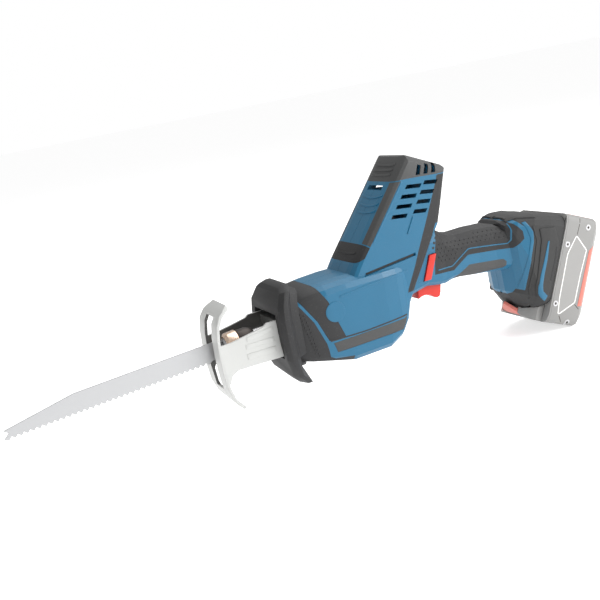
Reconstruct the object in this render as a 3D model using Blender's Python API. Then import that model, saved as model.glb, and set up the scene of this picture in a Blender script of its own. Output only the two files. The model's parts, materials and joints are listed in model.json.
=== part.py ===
"""Cordless reciprocating saw: motor tower over a crank drive, straight handle, slide-on battery pack.

Sizes are in millimetres and become metres when a mesh is made. The tool's own frame has +X to the rear,
the blade towards -X, +Z up, and its origin on the tool's middle plane near the front of the hand guard.
"""

import math

import bmesh
import bpy
from mathutils import Matrix, Vector

MM = 0.001

# Fits
GAP = 0.3                # between pieces that rest on each other
RUN = 0.1                # radial clearance of a shaft or plunger in its bore
SLIDE_GAP = 0.5          # round a piece that slides in a slot

# Shell
WALL = 3.6               # depth of the inner surface under the outer one
SKIN = 1.6               # thickness of the soft overmoulded skins
HEAD_HALF = 34.0         # half width of the gear head
TOWER_HALF = 30.0        # half width of the motor tower
HANDLE_HALF = 17.5       # half width of the handle
FOOT_HALF = 36.5         # half width of the battery foot
HEAD_TOP = 33.5
HEAD_BOTTOM = -46.0
HANDLE_TOP = 40.5
HANDLE_BOTTOM = -4.0
TOWER_TOP = 127.0        # height of the cap's front edge
CAP_SLOPE = -0.45        # fall of the cap towards the rear
CAP_ROUND = 8.0
CAP_HALF = 28.3          # half width of the cap where it rounds over
FRONT_LEAN = 0.803       # run over rise of the tower's front face
FRONT_FOOT = 67.0        # x of the tower's front face at z = 48

# Drive
CRANK_X = 79.5
CRANK_Z = 2.8
DROOP = math.radians(3.26)        # the stroke axis falls towards the blade
MOTOR_LEAN = math.radians(30.0)
STROKE_FRONT = 4.0       # travel left towards the front at rest
STROKE_REAR = 17.0       # travel left towards the rear at rest
CRANK_RADIUS = (STROKE_FRONT + STROKE_REAR) / 2
PLUNGER_R = 7.5
BUSH_R = 9.5
NECK_HALF = 13.4         # half width of the gear case's neck
CLAMP_R = 9.0
SLEEVE_R = 13.2
CLAMP_FRONT = -146.0     # on the stroke axis, from the crank's centre
CLAMP_REAR = -117.0
GEAR_TEETH = 36
PINION_TEETH = 8
MODULE = 1.05
GEAR_R = 21.5
GEAR_FACE_Y = -5.6       # face of the crank gear that carries the teeth
TOOTH_HEIGHT = 1.9
GEAR_THICK = 5.0
TOOTH_IN = 15.0
TOOTH_OUT = 20.8
SHAFT_R = 2.5
CAN_R = 20.5
CAN_START = 42.0
CAN_END = 74.0

# Blade and shoe
BLADE_THICK = 1.5
BLADE_WIDTH = 18.2
BLADE_TIP = -342.0       # on the stroke axis, from the crank's centre
BLADE_PITCH = 5.0
TOOTH_DEPTH = 2.4
SHOE_HALF = 24.5
SHOE_THICK = 3.0
SHOE_ARM_THICK = 3.0
ARM_TOP = 12.3
ARM_STEP = 10.0          # arm's top edge before it steps up
ARM_BOTTOM = -22.0
ARM_REAR = 24.0

# Battery pack, in its own frame: X' away from the foot, Z' up along the rails
PACK_LEAN = math.radians(22.0)
PACK_FACE = 263.5        # rear face of the foot
PACK_BACK = 309.5
PACK_LOW = 32.0
PACK_HIGH = 143.0
PACK_HALF = 37.5
TONGUE_HALF = 22.0
TONGUE_DEPTH = 11.0
CELL_R = 9.0
CELL_HALF = 32.5
CELL_PITCH = 18.7        # along the pack
CELL_STEP = 18.3         # from row to row
PACK_SPLIT = 265.9       # where the pack's tub starts behind its cover

ROUND = 24               # sides of a small turned piece

STROKE = Matrix.Translation((CRANK_X, 0, CRANK_Z)) @ Matrix.Rotation(-DROOP, 4, "Y")
MOTOR = Matrix.Translation((CRANK_X, 0, CRANK_Z)) @ Matrix.Rotation(MOTOR_LEAN, 4, "Y")
PACK = Matrix.Rotation(PACK_LEAN, 4, "Y")
TOOL = Matrix.Identity(4)

COLOURS = {
    "blue_plastic": ((0.055, 0.205, 0.360), 0.42, 0.0),
    "dark_rubber": ((0.040, 0.038, 0.037), 0.75, 0.0),
    "grey_rubber": ((0.110, 0.105, 0.100), 0.70, 0.0),
    "red_plastic": ((0.780, 0.055, 0.030), 0.40, 0.0),
    "cast_alloy": ((0.560, 0.565, 0.560), 0.45, 1.0),
    "white_casting": ((0.720, 0.730, 0.710), 0.40, 0.0),
    "steel": ((0.520, 0.520, 0.530), 0.30, 1.0),
    "dark_steel": ((0.090, 0.085, 0.085), 0.40, 1.0),
    "copper_finish": ((0.800, 0.520, 0.360), 0.30, 1.0),
    "blade_steel": ((0.500, 0.505, 0.515), 0.35, 1.0),
    "bronze": ((0.450, 0.290, 0.130), 0.40, 1.0),
    "copper_winding": ((0.600, 0.280, 0.130), 0.40, 1.0),
    "black_plastic": ((0.030, 0.030, 0.032), 0.50, 0.0),
    "grey_plastic": ((0.330, 0.325, 0.320), 0.50, 0.0),
    "pale_red_plastic": ((0.750, 0.230, 0.170), 0.50, 0.0),
    "cell_wrap": ((0.120, 0.330, 0.180), 0.50, 0.0),
}


# ---------------------------------------------------------------- basic solids

def solid(points, faces):
    """A bmesh from points and faces, with its normals made to face out."""
    bm = bmesh.new()
    verts = [bm.verts.new(p) for p in points]
    for face in faces:
        bm.faces.new([verts[i] for i in face])
    bmesh.ops.recalc_face_normals(bm, faces=bm.faces)
    return bm


def loft(rings):
    """A closed skin through rings of equal count, with a flat cap at each end."""
    count = len(rings[0])
    points = [p for ring in rings for p in ring]
    faces = [list(range(count)), list(range((len(rings) - 1) * count, len(rings) * count))]
    for level in range(len(rings) - 1):
        for i in range(count):
            j = (i + 1) % count
            a = level * count
            faces.append([a + i, a + j, a + count + j, a + count + i])
    return solid(points, faces)


def box(x0, x1, y0, y1, z0, z1):
    ring = [(y0, z0), (y1, z0), (y1, z1), (y0, z1)]
    return loft([[(x, y, z) for y, z in ring] for x in (x0, x1)])


def prism(outline, y0, y1):
    """An outline in the XZ plane, extruded along Y."""
    return loft([[(x, y, z) for x, z in outline] for y in (y0, y1)])


def turned(profile, sides=ROUND, axis="X"):
    """A closed profile of (along, radius) pairs, turned about an axis; radius 0 closes on the axis."""
    swap = {"X": lambda s, a, b: (s, a, b), "Y": lambda s, a, b: (a, s, b), "Z": lambda s, a, b: (a, b, s)}
    place = swap[axis]
    bm = bmesh.new()
    rings = []
    for along, radius in profile:
        if radius == 0:
            rings.append([bm.verts.new(place(along, 0, 0))])
        else:
            turn = [2 * math.pi * (i + 0.5) / sides for i in range(sides)]
            rings.append([bm.verts.new(place(along, radius * math.cos(t), radius * math.sin(t))) for t in turn])
    closed = profile[0][1] > 0 and profile[-1][1] > 0
    pairs = list(zip(rings, rings[1:]))
    if closed:
        pairs.append((rings[-1], rings[0]))
    for low, high in pairs:
        for i in range(sides):
            j = (i + 1) % sides
            corners = [low[i % len(low)], low[j % len(low)], high[j % len(high)], high[i % len(high)]]
            unique = list(dict.fromkeys(corners))
            if len(unique) > 2:
                bm.faces.new(unique)
    bmesh.ops.recalc_face_normals(bm, faces=bm.faces)
    return bm


def rod(start, end, radius, sides=ROUND, axis="X"):
    return turned([(start, 0), (start, radius), (end, radius), (end, 0)], sides, axis)


def tube(start, end, inner, outer, sides=ROUND, axis="X"):
    return turned([(start, inner), (start, outer), (end, outer), (end, inner)], sides, axis)


def moved(bm, matrix):
    bmesh.ops.transform(bm, matrix=matrix, verts=bm.verts)
    return bm


def shifted(bm, x=0.0, y=0.0, z=0.0):
    return moved(bm, Matrix.Translation((x, y, z)))


def grown(outline, margin):
    """A closed outline with every side moved out by the margin."""
    area = sum(a[0] * b[1] - b[0] * a[1] for a, b in zip(outline, outline[1:] + outline[:1]))
    sign = 1 if area > 0 else -1
    result = []
    for before, here, after in zip(outline[-1:] + outline[:-1], outline, outline[1:] + outline[:1]):
        first = Vector((here[0] - before[0], here[1] - before[1])).normalized()
        second = Vector((after[0] - here[0], after[1] - here[1])).normalized()
        normal_a = Vector((first.y, -first.x)) * sign
        normal_b = Vector((second.y, -second.x)) * sign
        middle = (normal_a + normal_b) / (1 + normal_a.dot(normal_b))
        result.append((here[0] + middle.x * margin, here[1] + middle.y * margin))
    return result


# ---------------------------------------------------------------- Booleans

def scratch_object(bm):
    mesh = bpy.data.meshes.new("scratch")
    bm.to_mesh(mesh)
    item = bpy.data.objects.new("scratch", mesh)
    bpy.context.scene.collection.objects.link(item)
    return item


def combine(operation, first, others):
    """The first solid joined with, cut by or shared with each of the others in turn."""
    body = scratch_object(first)
    for other in others:
        tool = scratch_object(other)
        step = body.modifiers.new("step", "BOOLEAN")
        step.operation = operation
        step.solver = "EXACT"
        step.object = tool
        graph = bpy.context.evaluated_depsgraph_get()
        fresh = bpy.data.meshes.new_from_object(body.evaluated_get(graph))
        old = body.data
        body.modifiers.clear()
        body.data = fresh
        bpy.data.meshes.remove(old)
        bpy.data.objects.remove(tool)
    result = bmesh.new()
    result.from_mesh(body.data)
    bpy.data.objects.remove(body)
    bmesh.ops.remove_doubles(result, verts=result.verts, dist=0.002)
    bmesh.ops.dissolve_degenerate(result, edges=result.edges, dist=0.002)
    return result


def joined(first, *others):
    return combine("UNION", first, others)


def cut(first, *others):
    return combine("DIFFERENCE", first, others)


def shared(first, *others):
    return combine("INTERSECT", first, others)


# ---------------------------------------------------------------- scene

def empty(name, matrix, parent):
    item = bpy.data.objects.new(name, None)
    item.empty_display_size = 20 * MM
    item.parent = parent
    place = matrix.copy()
    place.translation = matrix.translation * MM
    item.matrix_local = place
    bpy.context.scene.collection.objects.link(item)
    return item


def material(slot):
    found = bpy.data.materials.get(slot)
    if found:
        return found
    colour, roughness, metallic = COLOURS[slot]
    made = bpy.data.materials.new(slot)
    made.use_nodes = True
    shader = made.node_tree.nodes["Principled BSDF"]
    shader.inputs["Base Color"].default_value = (*colour, 1.0)
    shader.inputs["Roughness"].default_value = roughness
    shader.inputs["Metallic"].default_value = metallic
    made.diffuse_color = (*colour, 1.0)
    return made


def piece(name, bm, slot, parent, crease=35.0):
    """One named sub-part from a solid in its parent's frame."""
    bmesh.ops.transform(bm, matrix=Matrix.Scale(MM, 4), verts=bm.verts)
    bmesh.ops.triangulate(bm, faces=[f for f in bm.faces if len(f.verts) > 4])
    mesh = bpy.data.meshes.new(name)
    bm.to_mesh(mesh)
    mesh.shade_smooth()
    mesh.set_sharp_from_angle(angle=math.radians(crease))
    item = bpy.data.objects.new(name, mesh)
    item.data.materials.append(material(slot))
    item.parent = parent
    bpy.context.scene.collection.objects.link(item)
    return item


# ---------------------------------------------------------------- outer form

def rounded(half, low, high, top, bottom, steps=3):
    """A section symmetric in y, with elliptical corners: top and bottom are (y radius, z radius)."""
    corners = [
        (half - bottom[0], low + bottom[1], bottom, -90),
        (half - top[0], high - top[1], top, 0),
        (-half + top[0], high - top[1], top, 90),
        (-half + bottom[0], low + bottom[1], bottom, 180),
    ]
    points = []
    for y, z, radius, start in corners:
        for i in range(steps + 1):
            turn = math.radians(start + 90 * i / steps)
            points.append((y + radius[0] * math.cos(turn), z + radius[1] * math.sin(turn)))
    return points


def eased(radius, inset):
    return tuple(max(r - inset, 0.8) for r in radius)


def head_form(inset):
    """The gear head, in sections across the tool."""
    sections = [
        (-6.0, 28.5, -33.0, 28.5),
        (8.0, 31.0, -37.0, 31.0),
        (26.0, HEAD_HALF - 0.5, -41.0, HEAD_TOP - 1),
        (46.0, HEAD_HALF, HEAD_BOTTOM, HEAD_TOP),
        (84.0, HEAD_HALF, HEAD_BOTTOM + 1, HEAD_TOP),
        (98.0, HEAD_HALF - 1, HEAD_BOTTOM + 8, HEAD_TOP),
        (106.0, HEAD_HALF - 3, HEAD_BOTTOM + 18, HEAD_TOP),
        (112.0, HEAD_HALF - 6, HEAD_BOTTOM + 31, HEAD_TOP - 2),
    ]
    top = eased((15.0, 9.5), inset)
    bottom = eased((13.0, 13.0), inset)
    rings = []
    for i, (x, half, low, high) in enumerate(sections):
        if i == 0:
            x += inset
        if i == len(sections) - 1:
            x -= inset
        rings.append([(x, y, z) for y, z in rounded(half - inset, low + inset, high - inset, top, bottom)])
    return loft(rings)


def front_face(z):
    """x of the tower's front face at a height."""
    return FRONT_FOOT + FRONT_LEAN * (z - 48)


def cap_planes():
    """The sloping top of the tower's cap and the flats that round its edges, as outward normal and distance."""
    top = Vector((-CAP_SLOPE, 0, 1)).normalized()
    front = Vector((-1, 0, FRONT_LEAN)).normalized()
    rear = Vector((1, 0, -0.31)).normalized()
    crown = Vector((front_face(TOWER_TOP), 0, TOWER_TOP))
    reach = top.dot(crown)
    planes = [(top, reach)]
    for other, distance, radius in ((front, front.dot(crown), 5.0), (rear, rear.dot(Vector((170, 0, 106))), 6.0)):
        both = top + other
        planes.append((both.normalized(), (reach + distance - 2 * radius) / both.length + radius))
    for side in (-1, 1):
        for degrees in (22.5, 45.0, 67.5):
            up = math.cos(math.radians(degrees))
            out = math.sin(math.radians(degrees))
            normal = top * up + Vector((0, side * out, 0))
            distance = up * (reach - CAP_ROUND) + out * (CAP_HALF - CAP_ROUND) + CAP_ROUND
            planes.append((normal, distance))
    return planes


def trim(body, normal, distance):
    """Cut away what lies beyond a plane and close the cut."""
    result = bmesh.ops.bisect_plane(
        body, geom=body.verts[:] + body.edges[:] + body.faces[:], plane_co=normal * distance,
        plane_no=normal, clear_outer=True)
    rim = [e for e in result["geom_cut"] if isinstance(e, bmesh.types.BMEdge)]
    bmesh.ops.contextual_create(body, geom=rim)
    bmesh.ops.recalc_face_normals(body, faces=body.faces)


def tower_form(inset):
    """The motor tower, in level sections, cut by the sloping top of its cap."""
    rear = [(-12, 111.5), (8, 121.5), (25, 131.5), (40, 141), (58, 154), (75, 160), (106, 170), (135, 178)]
    rings = []
    for i, (z, x_rear) in enumerate(rear):
        x_front = max(front_face(z), 50.0)
        half = TOWER_HALF + 0.6 - 0.02 * z if z > 20 else TOWER_HALF - 0.1 * (20 - z)
        level = z + (inset if i == 0 else 0)
        lean = 1.25 * inset
        middle = (x_front + x_rear) / 2
        reach = (x_rear - x_front) / 2 - lean
        outline = rounded(half - inset, -reach, reach, eased((4, 5), inset), eased((14, 7), inset))
        rings.append([(middle + along, y, level) for y, along in outline])
    body = loft(rings)
    for normal, distance in cap_planes():
        trim(body, normal, distance - inset)
    return body


def handle_form(inset):
    """The handle, in sections across it, from inside the tower to inside the foot."""
    sections = [
        (112.0, 19.0, -12.5, 30.0),
        (124.0, 19.5, -6.0, 40.0),
        (140.0, 19.5, -2.5, 52.0),
        (156.0, HANDLE_HALF + 0.8, -5.5, 54.0),
        (162.0, HANDLE_HALF, -6.0, HANDLE_TOP + 7.0),
        (170.0, HANDLE_HALF, HANDLE_BOTTOM, HANDLE_TOP + 2.5),
        (180.0, HANDLE_HALF, HANDLE_BOTTOM, HANDLE_TOP),
        (200.0, HANDLE_HALF + 0.5, HANDLE_BOTTOM - 2.5, HANDLE_TOP + 0.3),
        (220.0, HANDLE_HALF + 2.5, HANDLE_BOTTOM - 4, HANDLE_TOP - 1.2),
        (236.0, HANDLE_HALF + 6.0, HANDLE_BOTTOM - 5, HANDLE_TOP - 4.0),
    ]
    rings = []
    for i, (x, half, low, high) in enumerate(sections):
        if i == 0:
            x += inset
        if i == len(sections) - 1:
            x -= inset
        top = eased((12, 14), inset)
        bottom = eased((10, 10), inset)
        rings.append([(x, y, z) for y, z in rounded(half - inset, low + inset, high - inset, top, bottom)])
    return loft(rings)


BOW_START = 246.0        # centre of the ellipse that rounds the foot's front, at u = 71
BOW_LONG = 26.0
BOW_WIDE = 34.0


def bow_planes():
    """The flats that round the foot's front and its lower edge, as outward normal and distance."""
    planes = []
    for slope in (-1.6, -0.9, -0.45, 0.0, 0.45, 0.9, 1.6):
        start = BOW_START - math.hypot(BOW_LONG, slope * BOW_WIDE)
        for fall, u, back in ((0.5, 71.0, 0.0), (1.4, 57.0, 7.0)):
            normal = Vector((-1.0, slope, -fall))
            planes.append((normal.normalized(), -(start + back + fall * u) / normal.length))
    return planes


def foot_form(inset):
    """The battery foot, in sections across the pack's frame, with its front rounded like a bow."""
    sections = [
        (184.0, 15.0, 67.0, 100.0),
        (198.0, 22.0, 52.0, 124.0),
        (212.0, 29.0, 45.0, 132.0),
        (228.0, 34.0, 43.0, 136.5),
        (246.0, FOOT_HALF, 43.0, 139.5),
        (PACK_FACE, FOOT_HALF, 50.0, 141.0),
    ]
    rings = []
    for i, (v, half, low, high) in enumerate(sections):
        if i == 0:
            v += inset
        if i == len(sections) - 1:
            v -= inset
        top = eased((12, 11), inset)
        bottom = eased((9, 9), inset)
        rings.append([(v, y, u) for y, u in rounded(half - inset, low + inset, high - inset, top, bottom)])
    body = loft(rings)
    for normal, distance in bow_planes():
        trim(body, normal, distance - inset)
    return moved(body, PACK)


def form(inset):
    """The whole outer shape of the body, drawn in by the inset."""
    return joined(head_form(inset), tower_form(inset), handle_form(inset), foot_form(inset))


# ---------------------------------------------------------------- zones of the soft skins

FAR = 70.0               # past the widest piece

SEAM = [(-10.7, 50), (-1.9, 24), (11.8, 2), (19.8, -20), (21.8, -33.5), (27, -36.8), (45, -38.6)]
SEAM_HALF = 1.4          # half width of the blue line between the two front skins


def seam_side(offset):
    return [(x + offset, z) for x, z in SEAM]


def nose_zone():
    return prism(seam_side(-SEAM_HALF) + [(44, -60), (-30, -60), (-30, 50)], -FAR, FAR)


def collar_zone():
    front = [(x + SEAM_HALF, z) for x, z in SEAM[:3]] + [(21.0, -18.2)]
    rear = [(37.5, -18.2), (33.0, -5), (29.5, 7), (26.5, 17), (22, 25), (18.5, 33), (14, 50)]
    return prism(front + rear, -FAR, FAR)


def band_zone(side):
    outline = [(24.5, -21), (100, -19.2), (103, -17.6), (101.5, -24.5), (97, -29.3), (27, -30.6)]
    return prism(outline, *sorted((side * 20, side * FAR)))


def cap_zone():
    return prism([(90, 105.4), (126, 105.4), (161.0, 103.2), (190, 103.2), (190, 140), (90, 140)], -FAR, FAR)


def bumper_zone(side):
    outline = [(73.0, 58.4), (78.6, 53.6), (120.8, 104.6), (113.4, 104.6), (110.6, 104.6)]
    return prism(outline, *sorted((side * 21, side * FAR)))


def tower_collar_zone():
    return prism([(40, 57.4), (72.6, 57.4), (78.0, 52.8), (71.0, 44.6), (64.0, 42.0), (40, 42.0)], -FAR, FAR)


def pillar_zone():
    strip = [(109.5, 2), (127, 38), (141, 65), (157.5, 98), (159, 102.4), (168, 102.4), (150, 60),
             (140.5, 40), (122.5, 2)]
    back = [(141.5, 66), (157.5, 98), (159, 102.4), (190, 102.4), (190, 59), (138, 59)]
    sides = [prism(strip, *sorted((side * 22.5, side * FAR))) for side in (-1, 1)]
    return joined(prism(back, -FAR, FAR), *sides)


def grip_zone():
    outline = [(147.5, 8), (170, 6.5), (188, 17.3), (236, 13), (246, 20.5), (246, 28), (240, 36), (230, 43),
               (228, 60), (156.5, 60), (155.5, 47), (151.5, 31)]
    return prism(outline, -FAR, FAR)


def lower_grip_zone():
    outline = [(172.5, -1.2), (188, 7.6), (226, 4.0), (229, 1.0), (229, -3.0), (226, -5.4), (197, -4.6),
               (190, -7.5), (188, -20), (165, -20)]
    return prism(outline, -FAR, FAR)


def foot_zone():
    outline = [(238, -70), (238, -50), (233.5, -38), (252.5, 19), (250.5, 30), (240.5, 40.5), (234, 44),
               (234, 70), (340, 70), (340, -70)]
    return prism(outline, -FAR, FAR)


def groove(side):
    """The long groove in the tower's flank, above the head."""
    outline = [(67, 28.8), (123.5, 34.6), (123.5, 37.4), (69, 31.8)]
    return prism(outline, *sorted((side * 20, side * FAR)))


SKINS = [
    ("nose_boot", nose_zone, "dark_rubber"),
    ("gear_collar", collar_zone, "dark_rubber"),
    ("tower_cap", cap_zone, "grey_rubber"),
    ("tower_collar", tower_collar_zone, "dark_rubber"),
    ("rear_pillar", pillar_zone, "dark_rubber"),
    ("handle_grip", grip_zone, "dark_rubber"),
    ("lower_grip", lower_grip_zone, "grey_rubber"),
    ("foot_cover", foot_zone, "black_plastic"),
    ("side_band_left", lambda: band_zone(-1), "grey_rubber"),
    ("side_band_right", lambda: band_zone(1), "grey_rubber"),
    ("bumper_left", lambda: bumper_zone(-1), "grey_rubber"),
    ("bumper_right", lambda: bumper_zone(1), "grey_rubber"),
]


# ---------------------------------------------------------------- openings in the shell

NOSE_HALF = SHOE_HALF + SLIDE_GAP
NOSE_LOW = -24.0
NOSE_HIGH = 17.0

TRIGGER_FRONT = 131.5
TRIGGER_REAR = 159.0
TRIGGER_HALF = 8.8
LOCK_OUTLINE = [(143.5, 28.5), (151.0, 28.5), (141.5, 5.5), (134.0, 5.5)]
LOCK_PROUD = 1.6


def vent_slots():
    """Four rows of two slanting slots through each side of the tower, and three in the cap's sides."""
    slots = []
    for row in range(4):
        z = 96.6 - 7.9 * row
        for start, length in ((123.6 - 6.5 * row, 16.0), (143.0 - 5.2 * row, 14.0)):
            outline = [(start, z), (start + length, z - 1.9), (start + length + 2.4, z + 1.5),
                       (start + 2.6, z + 3.4)]
            slots.append(outline)
    for i in range(3):
        x = 137.0 + 8.2 * i
        z = 106.6 - 0.6 * i
        slots.append([(x, z), (x + 4.6, z - 0.4), (x + 7.2, z + 7.4), (x + 3.6, z + 9.4)])
    return [prism(s, *sorted((side * 15, side * FAR))) for s in slots for side in (-1, 1)]


def front_slot():
    """The air slot across the tower's front face."""
    z = 100.0
    x = front_face(z)
    return prism([(x - 9, z - 1.6), (x + 9, z - 1.6), (x + 9, z + 2.2), (x - 9, z + 2.2)], -13, 13)


def pack_recess():
    """The channel in the foot that the pack's tongue slides up into."""
    half = TONGUE_HALF + 2.3
    return moved(box(PACK_FACE - TONGUE_DEPTH - 3.5, PACK_FACE + 9, -half, half, 20, 127), PACK)


def shell_openings():
    nose = box(-40, 12, -NOSE_HALF, NOSE_HALF, NOSE_LOW, NOSE_HIGH)
    trigger = box(TRIGGER_FRONT - SLIDE_GAP, TRIGGER_REAR + SLIDE_GAP, -TRIGGER_HALF - SLIDE_GAP,
                  TRIGGER_HALF + SLIDE_GAP, -40, 4)
    lock = prism(grown(LOCK_OUTLINE, SLIDE_GAP), -FAR, FAR)
    return [nose, trigger, lock, front_slot(), pack_recess()] + vent_slots()


# ---------------------------------------------------------------- screws

SCREW_HEAD_R = 3.4
SCREW_R = 1.5
SCREW_TIP = -10.0
BOSS_R = 4.4
SCREWS = [(34, -37, 30), (97, -34, 29), (146, 62, 26), (195, 19, 14), (246.7, -38.2, 30)]


def screw_bosses(inner):
    """Round bosses in both halves, one for each housing screw."""
    posts = [shifted(rod(-FAR, FAR, BOSS_R, 12, "Y"), x, 0, z) for x, z, seat in SCREWS]
    return [shared(inner, post) for post in posts]


def screw_holes():
    holes = []
    for x, z, seat in SCREWS:
        holes.append(shifted(rod(SCREW_TIP - 2, FAR, SCREW_R + GAP, 12, "Y"), x, 0, z))
        holes.append(shifted(rod(seat, FAR, SCREW_HEAD_R + GAP, 12, "Y"), x, 0, z))
    return holes


def housing_screw(seat):
    head = seat + GAP
    profile = [(SCREW_TIP, 0), (SCREW_TIP, SCREW_R), (head, SCREW_R), (head, SCREW_HEAD_R),
               (head + 2.4, SCREW_HEAD_R), (head + 2.4, 1.4), (head + 1.2, 1.4), (head + 1.2, 0)]
    return turned(profile, 12, "Y")


# ---------------------------------------------------------------- inner blocks and their ribs

CASE_WALL = 3.0
CASE_FRONT = -53.0
CASE_REAR = GEAR_R + GAP + CASE_WALL
CASE_LEFT = -20.0        # the open side, closed by the cover plate
CASE_RIGHT = 19.0
CASE_HALF_HEIGHT = 25.5
COVER_THICK = 3.0
NECK_FRONT = -98.5

SWITCH = (161.0, 188.0, -9.0, 9.0, 8.0, 31.0)
ELECTRONICS = (203.0, 226.0, -12.0, 12.0, 6.0, 30.0)
TERMINALS = (237.0, 248.6, -20.0, 20.0, 72.0, 116.0)


def padded(block, margin):
    x0, x1, y0, y1, z0, z1 = block
    return box(x0 - margin, x1 + margin, y0 - margin, y1 + margin, z0 - margin, z1 + margin)


def case_block():
    return (CASE_FRONT, CASE_REAR, CASE_LEFT - COVER_THICK - GAP, CASE_RIGHT,
            -CASE_HALF_HEIGHT, CASE_HALF_HEIGHT)


def rib_slabs():
    """Thin walls across the shell that carry the motor, the gear case and the electric blocks."""
    motor = [moved(box(-34, 34, -FAR, FAR, s, s + 2.5), MOTOR) for s in (50, 66)]
    case = [box(x, x + 2.5, -FAR, FAR, -60, 29) for x in (44, 92)]
    blocks = [box(x, x + 2.0, -FAR, FAR, -20, 45) for x in (174, 214)]
    blocks.append(moved(box(242, 244, -FAR, FAR, 60, 125), PACK))
    return motor + case + blocks


def block_room():
    """The space that the carried blocks take out of the ribs."""
    return [
        moved(rod(CAN_START - 12, CAN_END + 8, CAN_R + GAP, 32, "Z"), MOTOR),
        moved(padded(case_block(), GAP), STROKE),
        padded(SWITCH, GAP),
        padded(ELECTRONICS, GAP),
        moved(padded(TERMINALS, GAP), PACK),
    ]


# ---------------------------------------------------------------- body shells

def make_shells(root):
    outer = form(0)
    under = form(SKIN)
    seat = form(SKIN + GAP)
    inner = form(WALL)
    rib_reach = form(WALL - 0.7)
    openings = shell_openings()
    zones = [(name, zone(), slot) for name, zone, slot in SKINS]

    ribs = [shared(rib_reach, slab) for slab in rib_slabs()]
    ribs = [cut(rib, *block_room()) for rib in ribs]
    bosses = screw_bosses(rib_reach)

    raised = cut(outer, *[zone for name, zone, slot in zones], groove(-1), groove(1))
    shell = cut(joined(seat, raised), inner)
    shell = joined(shell, *ribs, *bosses)
    shell = cut(shell, *openings, *screw_holes())
    left = shared(shell, box(-60, 400, -FAR, -GAP / 2, -120, 160))
    right = shared(shell, box(-60, 400, GAP / 2, FAR, -120, 160))
    piece("housing_left", left, "blue_plastic", root)
    piece("housing_right", right, "blue_plastic", root)

    for name, zone, slot in zones:
        skin = cut(shared(outer, zone), under)
        piece(name, cut(skin, *openings, *screw_holes()), slot, root)

    for i, (x, z, seat_y) in enumerate(SCREWS):
        piece(f"housing_screw_{i + 1}", shifted(housing_screw(seat_y), x, 0, z), "dark_steel", root)


# ---------------------------------------------------------------- hand guard

def guard_front(z):
    """x of the guard's front face: furthest forward just above the blade, swept back above and below."""
    if z > 12:
        return -22.5 + 8.6 * ((z - 12) / 24.9) ** 2.44
    return -22.5 + 23.2 * ((12 - z) / 71.4) ** 4.3


def guard_ring(half_outline, offset):
    right = [(guard_front(z) + offset, y, z) for y, z in half_outline]
    left = [(x, -y, z) for x, y, z in reversed(right)]
    return right + left


def hand_guard():
    face = [(19, 38.5), (27, 35), (32, 24), (33.5, 12), (33.5, -8), (31, -24), (23, -42), (9, -54.5)]
    rim = [(21, 40), (30, 36), (36.5, 25), (38, 12), (38, -8), (35.5, -26), (26, -44), (11, -58)]
    neck = [(18, 34), (26, 31), (30, 24), (32, 12), (32, -8), (30, -22), (22, -33), (10, -40)]
    rings = [(face, 0), (rim, 3.5), (rim, 8.0), (neck, 13.0), (neck, 20.0)]
    count = 2 * len(face)
    points = [p for outline, offset in rings for p in guard_ring(outline, offset)]
    faces = []
    for level in range(len(rings) - 1):
        for i in range(count):
            j = (i + 1) % count
            a = level * count
            faces.append([a + i, a + j, a + count + j, a + count + i])
    for base in (0, (len(rings) - 1) * count):
        for i in range(len(face) - 1):
            faces.append([base + i, base + i + 1, base + count - 2 - i, base + count - 1 - i])
    body = solid(points, faces)
    opening = box(-60, 60, -NOSE_HALF, NOSE_HALF, NOSE_LOW, NOSE_HIGH)
    return cut(body, opening, form(-GAP))


# ---------------------------------------------------------------- shoe and blade

PLATE_LINE = [(-61.0, -64.0), (-67.5, -56.5), (-73.4, -48.0), (-77.0, -37.0), (-78.6, -20.0), (-78.6, -5.0),
              (-77.8, 10.0), (-75.5, 22.0), (-71.0, 29.5), (-61.5, 36.5)]
PLATE_OUTLINE = [(16.0, 37.0), (21.5, 32.0), (SHOE_HALF, 24.0), (SHOE_HALF, -42.0), (19.5, -51.0),
                 (11.0, -60.0), (5.0, -64.5)]
SLOT_HALF = 9.0


def shoe():
    """The shoe: a bowed plate with the blade's slot, on two arms that run back into the head."""
    middle = Vector((-42.0, -12.0))
    back = []
    for point in reversed(PLATE_LINE):
        inward = (middle - Vector(point)).normalized() * SHOE_THICK
        back.append((point[0] + inward.x, point[1] + inward.y))
    bow = prism(PLATE_LINE + back, -SHOE_HALF, SHOE_HALF)
    half = [(y, z) for y, z in PLATE_OUTLINE]
    outline = half + [(-y, z) for y, z in reversed(half)]
    plate = shared(bow, loft([[(x, y, z) for y, z in outline] for x in (-90, -40)]))
    arms = []
    for side in (-1, 1):
        outline = [(-76.6, 4.0), (-65, 4.5), (-50, ARM_STEP - 3), (-34, ARM_STEP), (-31, ARM_TOP),
                   (ARM_REAR, ARM_TOP), (ARM_REAR, ARM_BOTTOM), (-64, ARM_BOTTOM + 1), (-70.5, ARM_BOTTOM - 2),
                   (-74.0, -31), (-76.8, -31)]
        arms.append(prism(outline, *sorted((side * (SHOE_HALF - SHOE_ARM_THICK), side * SHOE_HALF))))
    slot = box(-100, -60, -SLOT_HALF, SLOT_HALF, -39, 27)
    return cut(joined(plate, *arms), slot)


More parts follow.
